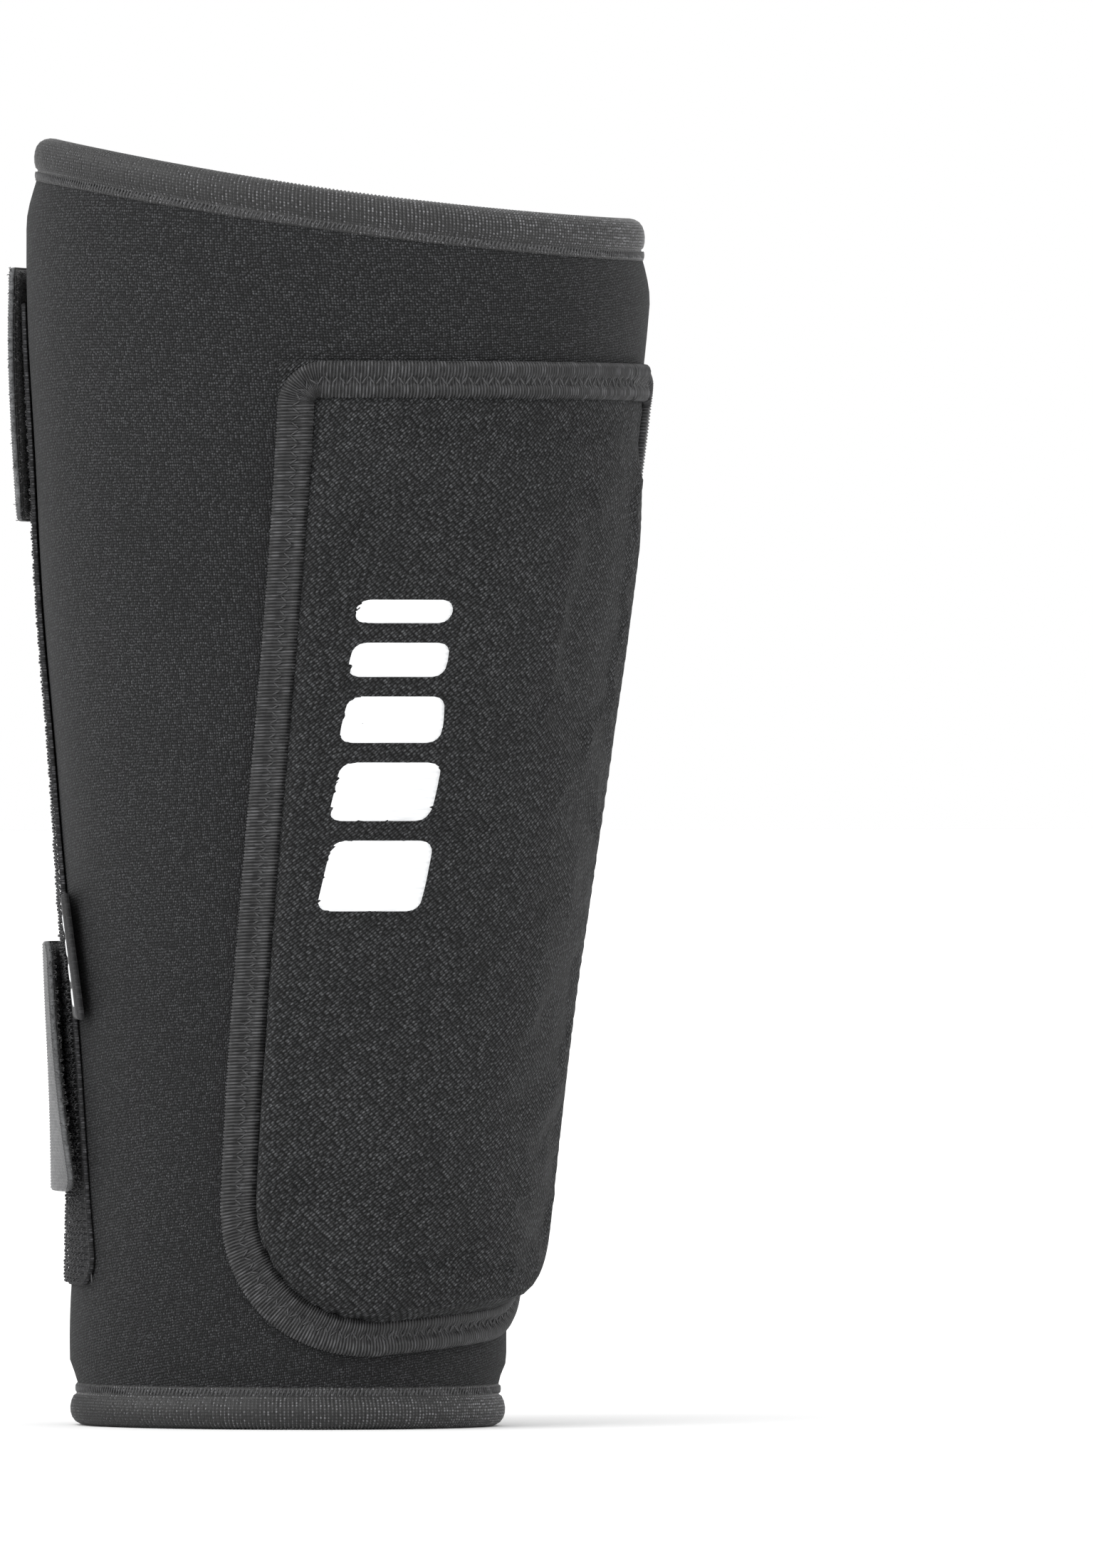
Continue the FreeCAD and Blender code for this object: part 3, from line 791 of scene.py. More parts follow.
class SHINGUARD_OT_sleeve(GuardStep, bpy.types.Operator):
    """Neoprene sleeve, in a part on the shell and a medial part where the flap is"""

    bl_idname = "shin_guard.sleeve"
    bl_label = "Sleeve"

    def build(self, sizes):
        wall = sizes.wall / MM

        for name, first, last, body, old in (
            ("sleeve_outer_side", lambda z: -slit_angle(z), lambda z: HALVES_MEET, "shell", "sleeve"),
            ("sleeve_inner_side", lambda z: HALVES_MEET, slit_angle, FLAP, "sleeve_medial_flap"),
        ):
            columns, across = [], spread(0.0, 1.0, 1 / 96 if body == "shell" else 1 / 72)
            for share in across:
                loop = []
                for side in (0, 1):
                    for t in spread(0.0, 1.0, 1 / 100)[:: 1 - 2 * side]:
                        z = 3.0 + t * 245.0
                        angle = first(z) + (last(z) - first(z)) * share
                        top = rim_height(angle)
                        z = 3.0 + t * (top - 6.0)
                        loop.append(on_sleeve(angle, z, -wall if side else 0.0))
                columns.append(loop)
            reach = (first(130.0), last(130.0))
            us = [(reach[0] + (reach[1] - reach[0]) * share) * girth(130.0) for share in across]
            heights = [3.0 + t * 245.0 for t in spread(0.0, 1.0, 1 / 100)]
            vs = heights + heights[::-1]
            sleeve = swept(name, columns, us, vs)
            dress(sleeve, "neoprene_jersey", "neoprene", body, old)


class SHINGUARD_OT_hems(GuardStep, bpy.types.Operator):
    """Ribbed tapes folded over the top and bottom edges, and the stitches that hold them"""

    bl_idname = "shin_guard.hems"
    bl_label = "Hems"

    # Outward distance from the drawn-in neoprene and distance from the rim, once round the fold.
    profile = (
        (-0.10, 8.7), (0.22, 8.5), (0.38, 7.7), (0.36, 7.0), (0.30, 6.6), (0.36, 6.35), (0.80, 5.9),
        (1.25, 4.9), (1.48, 3.7), (1.42, 2.6), (1.10, 1.6), (0.45, 0.75), (-0.5, 0.22), (-1.6, 0.0),
        (-2.8, 0.1), (-3.9, 0.55),
        (-4.8, 1.4), (-5.3, 2.7), (-5.35, 4.2), (-5.1, 5.8), (-4.8, 7.4), (-4.2, 8.2), (-3.4, 7.8), (-0.5, 8.3),
    )
    relief = (0.0, 0.5, 0.6, 0.5, 0.1, 0.1, 1, 1, 1, 1, 1, 1, 1, 1, 1, 1, 1, 1, 1, 1, 1, 0.3, 0, 0)

    def build(self, sizes):
        pitch = sizes.hem_rib_pitch / MM
        for top in (True, False):
            edge = "top" if top else "bottom"
            z0 = RIM_MIDDLE if top else 0.0
            half_turn = slit_angle(z0)
            per_degree = girth(z0)
            for part, first, last, body in (
                ("", -half_turn, HALVES_MEET, "shell"), ("_flap", HALVES_MEET, half_turn, FLAP),
            ):
                angles = spread(first, last, pitch / 4 / per_degree)
                columns = []
                for angle in angles:
                    rim = rim_height(angle) if top else 0.0
                    ripple = 0.18 * noise.noise(Vector((angle / 9.0, 7.0 if top else 3.0, 0)))
                    loop = []
                    for out, drop in self.profile:
                        z = rim - drop if top else drop
                        loop.append(on_sleeve(angle, z, out + ripple))
                    columns.append(loop)
                us = [angle * per_degree for angle in angles]
                vs, total = [0.0], 0.0
                for (a, b), (c, d) in zip(self.profile, self.profile[1:]):
                    total += math.hypot(c - a, d - b)
                    vs.append(total)
                tape = swept(f"{edge}_hem{part}", columns, us, vs, self.relief)
                grown(
                    tape,
                    tree_named("Ribs"),
                    {"Pitch": sizes.hem_rib_pitch, "Height": sizes.hem_rib_height,
                     "Material": material_named("hem_rib")},
                )
                dress(tape, "hem_rib", "ribbed_tape", body, f"{edge}_binding{part}")
                line, ups = [], []
                for angle in spread(first + 0.6, last - 0.6, 1.5):
                    rim = rim_height(angle) if top else 0.0
                    line.append(on_sleeve(angle, rim - HEM_SEAM_DROP if top else HEM_SEAM_DROP, HEM_SEAM_OUT))
                    ups.append(outward(angle, line[-1].z))
                row = stitched(f"{edge}_hem{part}_stitches", line, ups, 0.95, 1.75, 1.15, thickness=0.00042)
                dress(row, "sewing_thread", "thread", body, f"{edge}_binding{part}_thread")


def pad_half(z):
    """Half the pad's width along the cloth."""
    return PAD_HALF_BOTTOM + (PAD_HALF_TOP - PAD_HALF_BOTTOM) * (z - PAD_BOTTOM) / (PAD_TOP - PAD_BOTTOM)


def edge_distance(s, z):
    """Distance inwards from the pad's outline."""
    side = pad_half(z) - abs(s)

    def corner(end, radius):
        if side < radius and end < radius:
            return radius - math.hypot(radius - side, radius - end)
        return min(side, end)

    return min(corner(z - PAD_BOTTOM, PAD_R_BOTTOM), corner(PAD_TOP - z, PAD_R_TOP))


def pad_outline(step):
    """The pad's outline as ((s, z), (inward s, inward z)), closed, starting at the middle of its top."""
    low, high = pad_half(PAD_BOTTOM), pad_half(PAD_TOP)
    corners = [(high, PAD_TOP, PAD_R_TOP), (low, PAD_BOTTOM, PAD_R_BOTTOM)]
    corners += [(-low, PAD_BOTTOM, PAD_R_BOTTOM), (-high, PAD_TOP, PAD_R_TOP)]
    pieces = []
    for i, (s, z, radius) in enumerate(corners):
        here = Vector((s, z))
        before = (Vector(corners[i - 1][:2]) - here).normalized()
        after = (Vector(corners[(i + 1) % 4][:2]) - here).normalized()
        half = before.angle(after) / 2
        centre = here + (before + after).normalized() * radius / math.sin(half)
        start = here + before * radius / math.tan(half)
        turn = math.pi - 2 * half
        first = math.atan2(start.y - centre.y, start.x - centre.x)
        count = max(8, round(radius * turn / step))
        for k in range(count + 1):
            a = first - turn * k / count
            pieces.append(centre + Vector((math.cos(a), math.sin(a))) * radius)
    top = Vector((0, PAD_TOP))
    rough = [top] + pieces + [top]
    lengths = [0.0]
    for a, b in zip(rough, rough[1:]):
        lengths.append(lengths[-1] + (b - a).length)
    count = round(lengths[-1] / step)
    even, k = [], 0
    for i in range(count):
        want = lengths[-1] * i / count
        while lengths[k + 1] < want:
            k += 1
        share = (want - lengths[k]) / (lengths[k + 1] - lengths[k])
        even.append(rough[k].lerp(rough[k + 1], share))
    line = []
    for i, p in enumerate(even):
        way = (even[(i + 1) % count] - even[i - 1]).normalized()
        line.append((p, Vector((way.y, -way.x))))
    return line, lengths[-1]


def pad_face(s, z):
    """Height of the pad's cloth above the sleeve."""
    d = edge_distance(s, z)
    low = 0.5 + 0.45 * smooth((d - 1.5) / 4)
    share = (z - PAD_BOTTOM) / (INSERT_TOP - PAD_BOTTOM)
    full = 7.9 - 3.2 * min(1.15, max(0.0, share))
    shoulder = min(1.0, max(0.0, (d - 7.3) / 3.2))
    shoulder = math.sqrt(1 - (1 - shoulder) ** 2)
    over_insert = 1 - smooth((z - INSERT_TOP + 3.0) / 10.0)
    corner = smooth((abs(s) - 36) / 14) * smooth((z - 180) / 18)
    body = full * (over_insert * (1 - 0.8 * corner) + (1 - over_insert * (1 - 0.8 * corner)) * 0.36)
    crown = 0.6 * (1 - (s / 50.0) ** 2) * smooth((d - 7.6) / 20)
    ripple = 0.35 * noise.noise(Vector((s / 26, z / 30, 4.0)))
    ripple += 0.12 * noise.noise(Vector((s / 9, z / 11, 1.0)))
    crease = 0.0
    for at, slope, deep, width in PAD_CREASES:
        off = z - at - slope * s
        crease -= deep * math.exp(-((off / width) ** 2)) * smooth((d - 9) / 8)
    inner = smooth((d - 7.6) / 6)
    return max(low, low + (body - low) * shoulder + (crown + ripple + crease) * inner)


class SHINGUARD_OT_pad(GuardStep, bpy.types.Operator):
    """Coarse knit cover over the shield, puffed by a cloth simulation"""

    bl_idname = "shin_guard.pad"
    bl_label = "Pad cover"

    def build(self, sizes):
        rows = with_edges(spread(PAD_BOTTOM + 1.4, PAD_TOP - 1.4, 1.6), 3.0)
        across = spread(-1.0, 1.0, 1 / 44)
        front, back, us, vs = [], [], [], []
        for z in rows:
            low, high = 0.0, pad_half(z)
            for _ in range(30):
                middle = (low + high) / 2
                low, high = (middle, high) if edge_distance(middle, z) > 1.3 else (low, middle)
            stretch = [math.copysign(abs(q) ** 0.9, q) * low for q in across]
            front.append([on_pad(s, z, pad_face(s, z)) for s in stretch])
            back.append([on_pad(s, z, 0.35) for s in stretch])
            us.append(stretch)
            vs.append(z)
        n, m = len(rows), len(across)
        points = [p for row in front for p in row] + [p for row in back for p in row]
        faces, uvs = [], []
        for side in (0, n * m):
            for i in range(n - 1):
                for j in range(m - 1):
                    a = side + i * m + j
                    faces.append((a, a + 1, a + m + 1, a + m))
                    uvs += [(us[x][y], vs[x]) for x, y in ((i, j), (i, j + 1), (i + 1, j + 1), (i + 1, j))]
        rim = [(i, 0) for i in range(n)] + [(n - 1, j) for j in range(1, m)]
        rim += [(i, m - 1) for i in range(n - 2, -1, -1)] + [(0, j) for j in range(m - 2, 0, -1)]
        for (i, j), (k, q) in zip(rim, rim[1:] + rim[:1]):
            a, b = i * m + j, k * m + q
            faces.append((a, b, n * m + b, n * m + a))
            uvs += [(us[i][j], vs[i]), (us[k][q], vs[k]), (us[k][q], vs[k]), (us[i][j], vs[i])]
        cover = tidy(mesh_object("pad_cover_cloth", points, faces, uvs))
        self.base()
        self.puff(cover, n * m, [edge_distance(s, z) for z, row in zip(vs, us) for s in row])
        dress(cover, "pad_knit", "pad_cloth", "shell", "pad_cover")

    def base(self):
        """Square-cornered cloth under the tape, which peeks out beside its rounded upper corners."""

        def place(u, v, out):
            return on_pad(u * (pad_half(v) + 0.15) / PAD_HALF_TOP, v, out)

        across = spread(-PAD_HALF_TOP, PAD_HALF_TOP, 1.4)
        up = with_edges(spread(120.0, PAD_TOP + 0.15, 2.0), 0.4)
        sheet = bent_sheet("pad_base_cloth", place, across, up, 0.02, 0.55, soft=0.4, ends=(0, 0, 1, 1))
        dress(sheet, "pad_knit", "pad_cloth", "shell")

    def puff(self, cover, front_count, distances):
        """Lets the cloth swell and wrinkle between its sewn edges, moving no point far."""
        loose = cover.vertex_groups.new(name="sewn")
        for i in range(len(cover.data.vertices)):
            held = 1.0 if i >= front_count else 1 - smooth((distances[i] - 8.0) / 10.0)
            loose.add([i], held, "REPLACE")
        cloth = cover.modifiers.new("Cloth", "CLOTH")
        cloth.settings.vertex_group_mass = "sewn"
        cloth.settings.quality = 5
        cloth.settings.mass = 0.2
        cloth.settings.tension_stiffness = 12
        cloth.settings.compression_stiffness = 12
        cloth.settings.shear_stiffness = 6
        cloth.settings.bending_stiffness = 0.6
        cloth.settings.use_pressure = True
        cloth.settings.uniform_pressure_force = 4.0
        cloth.settings.effector_weights.gravity = 0.0
        cloth.settings.shrink_min = -0.015
        scene = bpy.context.scene
        for step in range(1, 21):
            scene.frame_set(step)
        settled = cover.evaluated_get(bpy.context.evaluated_depsgraph_get()).data
        moved = [v.co.copy() for v in settled.vertices]
        cover.modifiers.clear()
        cover.vertex_groups.clear()
        for vertex, co in zip(cover.data.vertices, moved):
            shift = co - vertex.co
            if vertex.index < front_count and shift.length > 0:
                vertex.co += shift * min(1.0, 0.9 * MM / shift.length)
        scene.frame_set(1)
        cover.data.update()


class SHINGUARD_OT_pad_tape(GuardStep, bpy.types.Operator):
    """Ribbed elastic tape folded round the pad's edge, with its zigzag seam"""

    bl_idname = "shin_guard.pad_tape"
    bl_label = "Pad tape"

    # Distance inwards from the outline and height, once round the tape. The seam's groove is in the middle.
    profile = (
        (0.25, 0.1), (0.0, 0.8), (0.15, 1.5), (0.6, 2.1), (1.3, 2.45), (2.1, 2.45), (2.8, 2.15), (3.3, 1.75),
        (3.85, 1.5), (4.4, 1.75), (4.9, 2.3), (5.6, 2.7), (6.4, 2.7), (7.05, 2.3), (7.4, 1.6), (7.35, 0.7),
        (3.5, 0.2),
    )
    relief = (0, 0.8, 1, 1, 1, 1, 0.7, 0.4, 0.2, 0.4, 0.8, 1, 1, 1, 0.9, 0.3, 0)

    def build(self, sizes):
        pitch = sizes.tape_rib_pitch / MM
        line, total = pad_outline(pitch / 4)
        exact = total / round(total / pitch)
        stretch = pitch / exact
        columns, us = [], []
        for i, (p, inward) in enumerate(line):
            u = total * i / len(line)
            flat = smooth((p.y - PAD_TOP + 3.0) / 3.0)
            lap = flat * smooth((p.x - 35.0) / 0.7) * smooth((46.0 - p.x) / 0.7)
            wander = 0.38 * math.sin(math.tau * u / (2 * sizes.zigzag_pitch / MM))
            loop = []
            for d, h in self.profile:
                moved = wander * math.exp(-((d - ZIGZAG_INSET) ** 2))
                at = p + inward * (d + moved)
                loop.append(on_pad(at.x, at.y, h * (1 - 0.2 * flat) + (0.5 * lap if h > 0.3 else 0.0)))
            columns.append(loop)
            us.append(u * stretch)
        us.append(total * stretch)
        vs, run = [0.0], 0.0
        for (a, b), (c, d) in zip(self.profile, self.profile[1:]):
            run += math.hypot(c - a, d - b)
            vs.append(run)
        tape = swept("pad_edge_tape", columns, us, vs, self.relief, close_path=True)
        grown(
            tape,
            tree_named("Ribs"),
            {"Pitch": sizes.tape_rib_pitch, "Height": sizes.tape_rib_height,
             "Material": material_named("pad_rib")},
        )
        dress(tape, "pad_rib", "ribbed_tape", "shell", "pad_binding")
        seam, ups = [], []
        for p, inward in line[::4] + line[:1]:
            at = p + inward * ZIGZAG_INSET
            seam.append(on_pad(at.x, at.y, ZIGZAG_OUT))
            ups.append((on_pad(at.x, at.y, 3.0) - on_pad(at.x, at.y, 2.0)).normalized())
        zigzag = stitched("pad_edge_zigzag", seam, ups, sizes.zigzag_pitch / MM, 2.1, 0.95, 1.0)
        dress(zigzag, "sewing_thread", "thread", "shell", "pad_binding_thread")


class SHINGUARD_OT_print(GuardStep, bpy.types.Operator):
    """Plain white marks printed on the pad: a stack of rounded bars that widen downwards"""

    bl_idname = "shin_guard.print"
    bl_label = "Print"

    def build(self, sizes):
        cover = bpy.data.objects["pad_cover_cloth"]
        tree = BVHTree.FromPolygons(
            [v.co for v in cover.data.vertices], [list(p.vertices) for p in cover.data.polygons]
        )
        width = sizes.print_width / MM
        scale = sizes.print_height / MM / 64.0
        bars, z = [], PRINT_FOOT
        for tall in PRINT_BARS:
            bars.append((z, tall * scale))
            z += (tall + PRINT_GAP) * scale
        marks = []
        for number, (z0, tall) in enumerate(bars):
            radius = min(2.4, tall / 2)

            def place(u, v, out, z0=z0, tall=tall, radius=radius):
                end = min(v, tall - v)
                trim = radius - math.sqrt(max(0.0, radius**2 - (radius - min(end, radius)) ** 2))
                s = PRINT_MIDDLE + u * (width / 2 - trim) + PRINT_SLANT * (v - tall / 2)
                far, near = on_pad(s, z0 + v, 25.0), on_pad(s, z0 + v, 0.0)
                way = (near - far).normalized()
                hit = tree.ray_cast(far * MM, way)[0]
                if hit is None:
                    raise RuntimeError("the print misses the pad")
                return hit / MM - way * out

            us = spread(-1.0, 1.0, 1 / 10)
            vs = with_edges(spread(0.0, tall, 0.8), radius)
            marks.append(bent_sheet(f"print_bar_{number}", place, us, vs, -0.06, 0.16, soft=0.15))
        dress(joined(marks, "pad_print"), "white_ink", "label", "shell")


class SHINGUARD_OT_hook_tape(GuardStep, bpy.types.Operator):
    """Woven hook tape on the outer side of the calf, its hooks and its seams"""

    bl_idname = "shin_guard.hook_tape"
    bl_label = "Hook tape"

    def build(self, sizes):
        z0, z1 = TAPE_STATIONS[0][0], TAPE_STATIONS[-1][0]

        def width(z):
            return (between_stations(z, 2) - between_stations(z, 1)) * girth(z)

        def place(u, v, out):
            wide = width(v)
            share = min(1.0, max(0.0, u / 50.0))
            radius = 7.0
            low = max(0.0, radius - (v - z0))
            corner = (radius - math.sqrt(radius**2 - low**2)) * smooth(share * 2 - 1)
            angle = between_stations(v, 1) + (share * wide - corner) / girth(v)
            edge = min(share, 1 - share) * wide
            bead = 0.4 * math.exp(-(((edge - 0.45) / 0.4) ** 2)) if out > 0.5 else 0.0
            stand = 0.35 * math.exp(-edge / 2.0)
            return on_sleeve(angle, v, out + bead + stand)

        near = [0.15, 0.35, 0.55, 0.8, 1.1, 1.5]
        us = [0.0] + near + spread(2.5, 47.5, 1.5) + [50.0 - d for d in reversed(near)] + [50.0]
        vs = with_edges(spread(z0, z1, 2.0), 0.8)
        ground = bent_sheet("hook_tape_ground", place, us, vs, 0.1, 0.65, soft=0.4)
        dress(ground, "hook_ground", "hook_tape", "shell", "hook_tape")
        pitch = sizes.hook_pitch / MM
        roots, ups = [], []
        for row, z in enumerate(spread(z0 + 1.2, z1 - 1.2, pitch)):
            for d in spread(1.9, width(z) - 1.9, 0.9 * pitch):
                angle = between_stations(z, 1) + (d + (0.45 * pitch if row % 2 else 0.0)) / girth(z)
                corner = max(0.0, 7.0 - (z - z0)) * 0.8
                if d + 0.45 * pitch < width(z) - 1.5 - corner:
                    roots.append(on_sleeve(angle, z, 0.6))
                    ups.append(outward(angle, z))
        hooks = guided("hooks", roots, ups)
        grown(
            hooks,
            tree_named("Hooks"),
            {"Height": sizes.hook_height, "Thickness": sizes.hook_thickness, "Seed": 5,
             "Material": material_named("hook_plastic")},
        )
        dress(hooks, "hook_plastic", "hooks", "shell", "hook_field")
        rows = []
        for number, d in enumerate((1.4, -1.4)):
            line, ups = [], []
            for z in spread(z0 + 1.5, z1 - 1.5, 3.0):
                along = d if d > 0 else width(z) + d
                angle = between_stations(z, 1) + along / girth(z)
                line.append(on_sleeve(angle, z, 0.78))
                ups.append(outward(angle, z))
            rows.append(stitched(f"hook_tape_seam_{number}", line, ups, 2.6, 2.1, 0.0))
        dress(joined(rows, "hook_tape_stitches"), "sewing_thread", "thread", "shell", "hook_tape_thread")


class SHINGUARD_OT_edge_tapes(GuardStep, bpy.types.Operator):
    """Ribbed tapes folded over both upright edges of the back opening"""

    bl_idname = "shin_guard.edge_tapes"
    bl_label = "Back edge tapes"

    # Distance from the edge away from the opening and outward distance, once round the fold.
    profile = (
        (8.0, 0.05), (7.6, 0.45), (6.6, 0.62), (5.4, 0.55), (4.8, 0.38), (4.2, 0.55), (2.8, 0.75), (1.2, 0.78),
        (0.0, 0.4), (-0.6, -0.6), (-0.78, -2.0), (-0.6, -3.4), (0.0, -4.4), (1.2, -4.75), (3.4, -4.7),
        (6.4, -4.6),
        (7.6, -4.35), (7.4, -3.8), (4.0, -2.0),
    )

    def build(self, sizes):
        pitch = sizes.hem_rib_pitch / MM
        for sign, name, body in ((-1, "lateral", "shell"), (1, "medial", "medial_flap")):
            top = rim_height(sign * 175.0)
            heights = spread(8.6, top - 8.9, pitch / 4)
            columns = []
            for z in heights:
                columns.append([on_sleeve(sign * slit_angle(z, -away), z, out) for away, out in self.profile])
            vs, run = [0.0], 0.0
            for (a, b), (c, d) in zip(self.profile, self.profile[1:]):
                run += math.hypot(c - a, d - b)
                vs.append(run)
            weights = [0.0] + [1.0] * (len(self.profile) - 4) + [0.3, 0.0, 0.0]
            tape = swept(f"{name}_edge_tape", columns, heights, vs, weights)
            grown(
                tape,
                tree_named("Ribs"),
                {"Pitch": sizes.hem_rib_pitch, "Height": sizes.hem_rib_height,
                 "Material": material_named("hem_rib")},
            )
            dress(tape, "hem_rib", "ribbed_tape", body, f"{name}_edge_binding")
            line, ups = [], []
            for z in heights[4:-4:12]:
                angle = sign * slit_angle(z, -4.9)
                line.append(on_sleeve(angle, z, 0.62))
                ups.append(outward(angle, z))
            seam = stitched(f"{name}_edge_stitches", line, ups, 1.3, 2.0, 0.8, 1.0)
            dress(seam, "sewing_thread", "thread", body)


class SHINGUARD_OT_panel(GuardStep, bpy.types.Operator):
    """Second layer of neoprene on the inner side, which the straps are sewn to"""

    bl_idname = "shin_guard.panel"
    bl_label = "Inner side panel"

    def build(self, sizes):
        first, last, top = 87.0, 164.0, 236.0

        def bottom(angle):
            y = [section(17.0)[0] - section(17.0)[2] * math.cos(math.radians(a)) for a in (first, last, angle)]
            return 17.0 + 23.0 * (y[2] - y[0]) / (y[1] - y[0])

        def place(u, v, out):
            base = bottom(u)
            return on_sleeve(u, base + (top - base) * v / 200.0, out)

        edge = 1.2
        us = [first + d for d in (0, 0.15, 0.4, 0.8)] + spread(first + 1.4, last - 1.4, 1.6)
        us += [last - d for d in (0.8, 0.4, 0.15, 0)]
        vs = with_edges(spread(0.0, 200.0, 2.5), edge)
        panel = bent_sheet("inner_side_panel", place, us, vs, 0.05, 2.45, soft=edge)
        dress(panel, "neoprene_jersey", "neoprene", FLAP, "wrap_panel")
        line, ups = [], []
        for v in spread(1.5, 198.5, 2.0):
            line.append(place(first + 2.6, v, 2.52))
            ups.append(outward(first + 2.6, line[-1].z))
        for u in spread(first + 2.8, last - 2.0, 1.5):
            line.append(place(u, 198.0, 2.52))
            ups.append(outward(u, line[-1].z))
        seam = stitched("inner_side_panel_stitches", line, ups, 2.4, 1.9, 0.0)
        dress(seam, "sewing_thread", "thread", FLAP, "wrap_panel_thread")


class SHINGUARD_OT_straps(GuardStep, bpy.types.Operator):
    """Two wide elastic straps: webbing, box of stitches at the sewn end, and loop pile under the tip"""

    bl_idname = "shin_guard.straps"
    bl_label = "Straps"

    def build(self, sizes):
        for side, (heights, tips), flare in (("upper", UPPER_STRAP, 1.5), ("lower", LOWER_STRAP, 0.9)):
            self.strap(sizes, side, heights, tips, flare)

    def strap(self, sizes, side, heights, tips, flare):
        z0, z1 = heights
        tall = z1 - z0
        corner = 3.5

        def tip_angle(v):
            trim = 0.0
            for end, radius in ((v, corner), (tall - v, corner if side == "lower" else 0.5)):
                if end < radius:
                    trim += radius - math.sqrt(radius**2 - (radius - end) ** 2)
            if side == "upper":
                trim += 1.2 * max(0.0, 2.4 - (tall - v))
            return tips[0] + (tips[1] - tips[0]) * v / tall - trim / girth(z0 + v)

        reach = (tips[0] - ANCHOR_ANGLE) * girth((z0 + z1) / 2)

        def place(u, v, out):
            share = u / reach
            angle = ANCHOR_ANGLE + (tip_angle(v) - ANCHOR_ANGLE) * share
            left = (1 - share) * (tips[0] - ANCHOR_ANGLE) * girth(z0 + v)
            bulge = 0.45 + 0.55 * math.sin(math.pi * min(1.0, v / tall + 0.08))
            lift = flare * bulge * max(0.0, 1 - left / 15.0) ** 1.5
            if side == "lower":
                lift -= 1.1 * (v / tall) ** 2 * max(0.0, 1 - left / 25.0)
            over_slit = -0.5 * smooth((angle - 168) / 8) * (1 - smooth((angle - 184) / 8))
            anchor = 0.75 * (1 - smooth((angle - 158) / 14))
            return on_sleeve(angle, z0 + v, out + lift + over_slit + anchor)

        us = with_edges(spread(0.0, reach, 1.8), 0.8)
        vs = with_edges(spread(0.0, tall, 0.14), 0.5)
        webbing = bent_sheet(f"{side}_strap_webbing", place, us, vs, STRAP_LOW, STRAP_HIGH, soft=0.5)
        grown(
            webbing,
            tree_named("Ribs"),
            {"Pitch": sizes.strap_rib_pitch, "Height": sizes.strap_rib_height,
             "Material": material_named("strap_rib")},
        )
        low, high = on_sleeve(STRAP_BEND, z0, 4.1), on_sleeve(STRAP_BEND, z1, 4.1)
        line = (high - low).normalized()
        a = math.radians(STRAP_BEND)
        across = Vector((math.cos(a), math.sin(a), 0.0))
        across -= line * across.dot(line)
        body = ("medial_flap", f"{side}_strap", tuple(across), tuple((low + high) / 2), 4.0)
        dress(webbing, "strap_rib", "elastic", body, f"{side}_strap_anchor", f"{side}_strap_band")
        box, ups = [], []
        a0, a1 = 3.5, (STRAP_BEND - 7.0 - ANCHOR_ANGLE) * girth((z0 + z1) / 2)
        corners = [(a0, 4.0), (a1, 4.0), (a1, tall - 4.0), (a0, tall - 4.0), (a0, 4.0), (a1, tall - 4.0)]
        for (p, v), (q, w) in zip(corners, corners[1:]):
            for share in spread(0.0, 1.0, 1 / 14)[:-1]:
                u, up = p + (q - p) * share, v + (w - v) * share
                box.append(place(u, up, STRAP_HIGH + 0.12))
                ups.append((place(u, up, 2.0) - place(u, up, 1.0)).normalized())
        seam = stitched(f"{side}_strap_box_stitches", box, ups, 2.3, 1.9, 0.0)
        dress(seam, "sewing_thread", "thread", "medial_flap", f"{side}_strap_anchor_thread")
        start = (190.0 - ANCHOR_ANGLE) * girth((z0 + z1) / 2)
        pu = spread(start, reach - 0.3, 2.0)
        pv = spread(0.5, tall - 0.5, 2.0)
        backing = bent_sheet(
            f"{side}_strap_loop_backing", place, pu, pv, STRAP_LOW - 0.35, STRAP_LOW + 0.1, soft=0.3
        )
        path = [(u, STRAP_LOW - 0.3) for u in pu]
        path += [(reach + 0.05, STRAP_LOW), (reach + 0.05, STRAP_HIGH - 0.2)]
        points = [place(u, v, out) for u, out in path for v in pv]
        m = len(pv)
        quads = [
            (i * m + j, (i + 1) * m + j, (i + 1) * m + j + 1, i * m + j + 1)
            for i in range(len(path) - 1) for j in range(m - 1)
        ]
        pile = mesh_object(f"{side}_strap_pile", points, quads)
        outwards = on_sleeve(200.0, z0, 1.0) - on_sleeve(200.0, z0, 0.0)
        if pile.data.polygons[0].normal.dot(outwards) > 0:
            pile.data.flip_normals()
        grown(
            pile,
            tree_named("Loops"),
            {"Height": sizes.pile_height, "Thickness": sizes.pile_thickness, "Density": 1400000.0,
             "Seed": 11, "Material": material_named("loop_pile")},
        )
        patch = joined([backing, pile], f"{side}_strap_loops")
        dress(patch, "loop_pile", "loop", f"{side}_strap", f"{side}_strap_loop_patch")


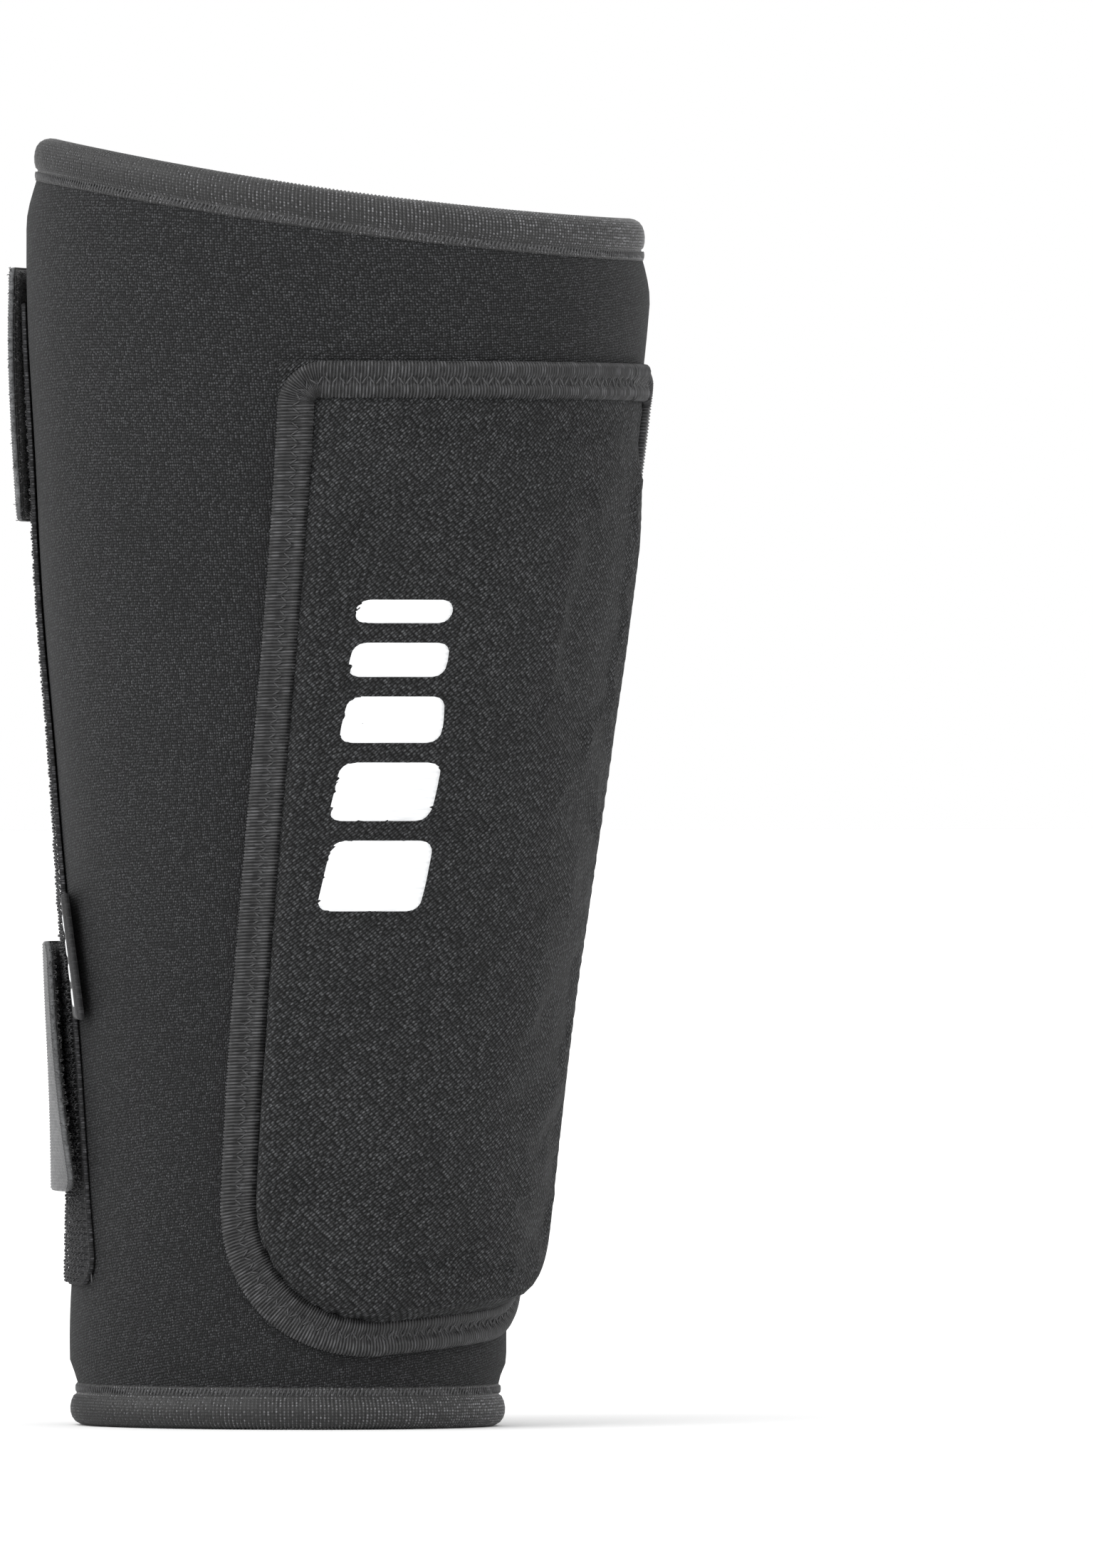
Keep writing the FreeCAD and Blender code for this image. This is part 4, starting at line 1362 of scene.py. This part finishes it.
class SHINGUARD_OT_label(GuardStep, bpy.types.Operator):
    """Folded woven label that stands out beside the hook tape, with four plain white marks"""

    bl_idname = "shin_guard.label"
    bl_label = "Flag label"

    def build(self, sizes):
        z0, z1 = LABEL_HEIGHTS
        tall, deep = z1 - z0, 10.5

        def place(u, v, out):
            z = z0 + v
            share = max(0.0, u / deep)
            lift = 0.95 + 2.3 * share**1.2
            angle = between_stations(z, 2) + 0.35 + u / girth(z)
            return on_sleeve(angle, z, lift + out * (0.55 + 0.45 * share))

        us, vs = with_edges(spread(0.0, deep, 0.8), 1.0), with_edges(spread(0.0, tall, 1.0), 0.6)
        flag = bent_sheet("woven_flag", place, us, vs, -0.95, 0.95, soft=1.0, ends=(0, 1, 1, 1))
        dress(flag, "label_weave", "label", "shell", "flag_label")
        marks = []
        for number in range(4):
            low = 2.6 + number * 5.1
            us, vs = spread(deep - 4.6, deep - 1.3, 0.4), spread(low, low + 3.8, 0.6)
            marks.append(bent_sheet(f"label_mark_{number}", place, us, vs, 0.85, 1.1, soft=0.2))
        dress(joined(marks, "label_marks"), "white_ink", "label", "shell")


class SHINGUARD_OT_inside(GuardStep, bpy.types.Operator):
    """Lining, foam and shield inside the pocket: the CAD shapes, with the pad's tilt"""

    bl_idname = "shin_guard.inside"
    bl_label = "Inside the pocket"

    def build(self, sizes):
        for name, material, slot_name in (
            ("pocket_lining", "neoprene_lining", "lining"), ("shin_foam", "foam_sheet", "foam"),
            ("shin_shield", "shield_plastic", "shield"),
        ):
            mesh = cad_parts[name].data.copy()
            mesh.name = f"{name}_sheet"
            mesh.materials.clear()
            for vertex in mesh.vertices:
                x, y, z = vertex.co / MM
                cy, rx, _ = section(z)
                vertex.co.z += pad_lift(rx * math.atan2(x, cy - y), z) * MM
            sheet = bpy.data.objects.new(mesh.name, mesh)
            bpy.context.scene.collection.objects.link(sheet)
            dress(sheet, material, slot_name, "shell", name)


class SHINGUARD_OT_stage(GuardStep, bpy.types.Operator):
    """Pale studio floor, soft lights and the camera"""

    bl_idname = "shin_guard.stage"
    bl_label = "Studio"

    def build(self, sizes):
        scene = bpy.context.scene
        far = 60000.0
        corners = [Vector((x, y, -0.15)) for x, y in ((-far, -far), (far, -far), (far, far), (-far, far))]
        floor = mesh_object("studio_floor", corners, [(0, 1, 2, 3)])
        floor.data.materials.append(material_named("studio_floor"))

        world = bpy.data.worlds.new("Studio") if scene.world is None else scene.world
        scene.world = world
        world.use_nodes = True
        background = world.node_tree.nodes["Background"]
        background.inputs["Color"].default_value = (1.0, 1.0, 1.0, 1.0)
        background.inputs["Strength"].default_value = 1.0

        for name, azimuth, elevation, strength, softness in (
            ("left_key", -80.0, 34.0, 1.5, 50.0), ("right_fill", 12.0, 24.0, 0.2, 60.0),
            ("top_light", -50.0, 72.0, 0.7, 60.0),
        ):
            lamp = bpy.data.lights.new(name, "SUN")
            lamp.energy = strength
            lamp.angle = math.radians(softness)
            holder = bpy.data.objects.new(name, lamp)
            scene.collection.objects.link(holder)
            forward, _ = self.view_ways(azimuth)
            e = math.radians(elevation)
            way = forward * math.cos(e) - Vector((0, 0, math.sin(e)))
            holder.location = -way
            holder.rotation_euler = way.to_track_quat("-Z", "Y").to_euler()

        camera = bpy.data.cameras.new("camera")
        camera.sensor_fit = "VERTICAL"
        camera.sensor_height = 36.0
        camera.lens = 666.0
        camera.clip_end = 100.0
        eye = bpy.data.objects.new("camera", camera)
        scene.collection.objects.link(eye)
        way, side = self.view_ways(-38.0)
        aim = Vector((0, -8.0, 132.6)) + side * 48.6
        eye.location = (aim - way * 6000.0) * MM
        eye.rotation_euler = way.to_track_quat("-Z", "Y").to_euler()
        scene.camera = eye
        scene.view_settings.view_transform = "Standard"

    def view_ways(self, azimuth):
        """Level ways forward and to the right for someone looking from an azimuth."""
        a = math.radians(azimuth)
        return Vector((-math.sin(a), math.cos(a), 0.0)), Vector((math.cos(a), math.sin(a), 0.0))


STEPS = (
    SHINGUARD_OT_sleeve,
    SHINGUARD_OT_hems,
    SHINGUARD_OT_edge_tapes,
    SHINGUARD_OT_pad,
    SHINGUARD_OT_pad_tape,
    SHINGUARD_OT_print,
    SHINGUARD_OT_hook_tape,
    SHINGUARD_OT_panel,
    SHINGUARD_OT_straps,
    SHINGUARD_OT_label,
    SHINGUARD_OT_inside,
    SHINGUARD_OT_stage,
)


class SHINGUARD_PT_panel(bpy.types.Panel):
    """Lists the sizes, the colours and the building steps"""

    bl_label = "Shin Guard"
    bl_idname = "SHINGUARD_PT_panel"
    bl_space_type = "VIEW_3D"
    bl_region_type = "UI"
    bl_category = "Shin Guard"

    def draw(self, context):
        for group in (context.scene.shin_guard_sizes, context.scene.shin_guard_colours):
            box = self.layout.box()
            for name in group.bl_rna.properties.keys():
                if name not in ("rna_type", "name"):
                    box.prop(group, name)
        for step in STEPS:
            self.layout.operator(step.bl_idname)


CLASSES = (ShinGuardSizes, ShinGuardColours, *STEPS, SHINGUARD_PT_panel)


def register():
    for made in CLASSES:
        bpy.utils.register_class(made)
    bpy.types.Scene.shin_guard_sizes = bpy.props.PointerProperty(type=ShinGuardSizes)
    bpy.types.Scene.shin_guard_colours = bpy.props.PointerProperty(type=ShinGuardColours)


def unregister():
    del bpy.types.Scene.shin_guard_sizes
    del bpy.types.Scene.shin_guard_colours
    for made in reversed(CLASSES):
        bpy.utils.unregister_class(made)


def main():
    register()
    for step in STEPS:
        getattr(bpy.ops.shin_guard, step.bl_idname.split(".")[1])()


if __name__ == "__main__":
    main()
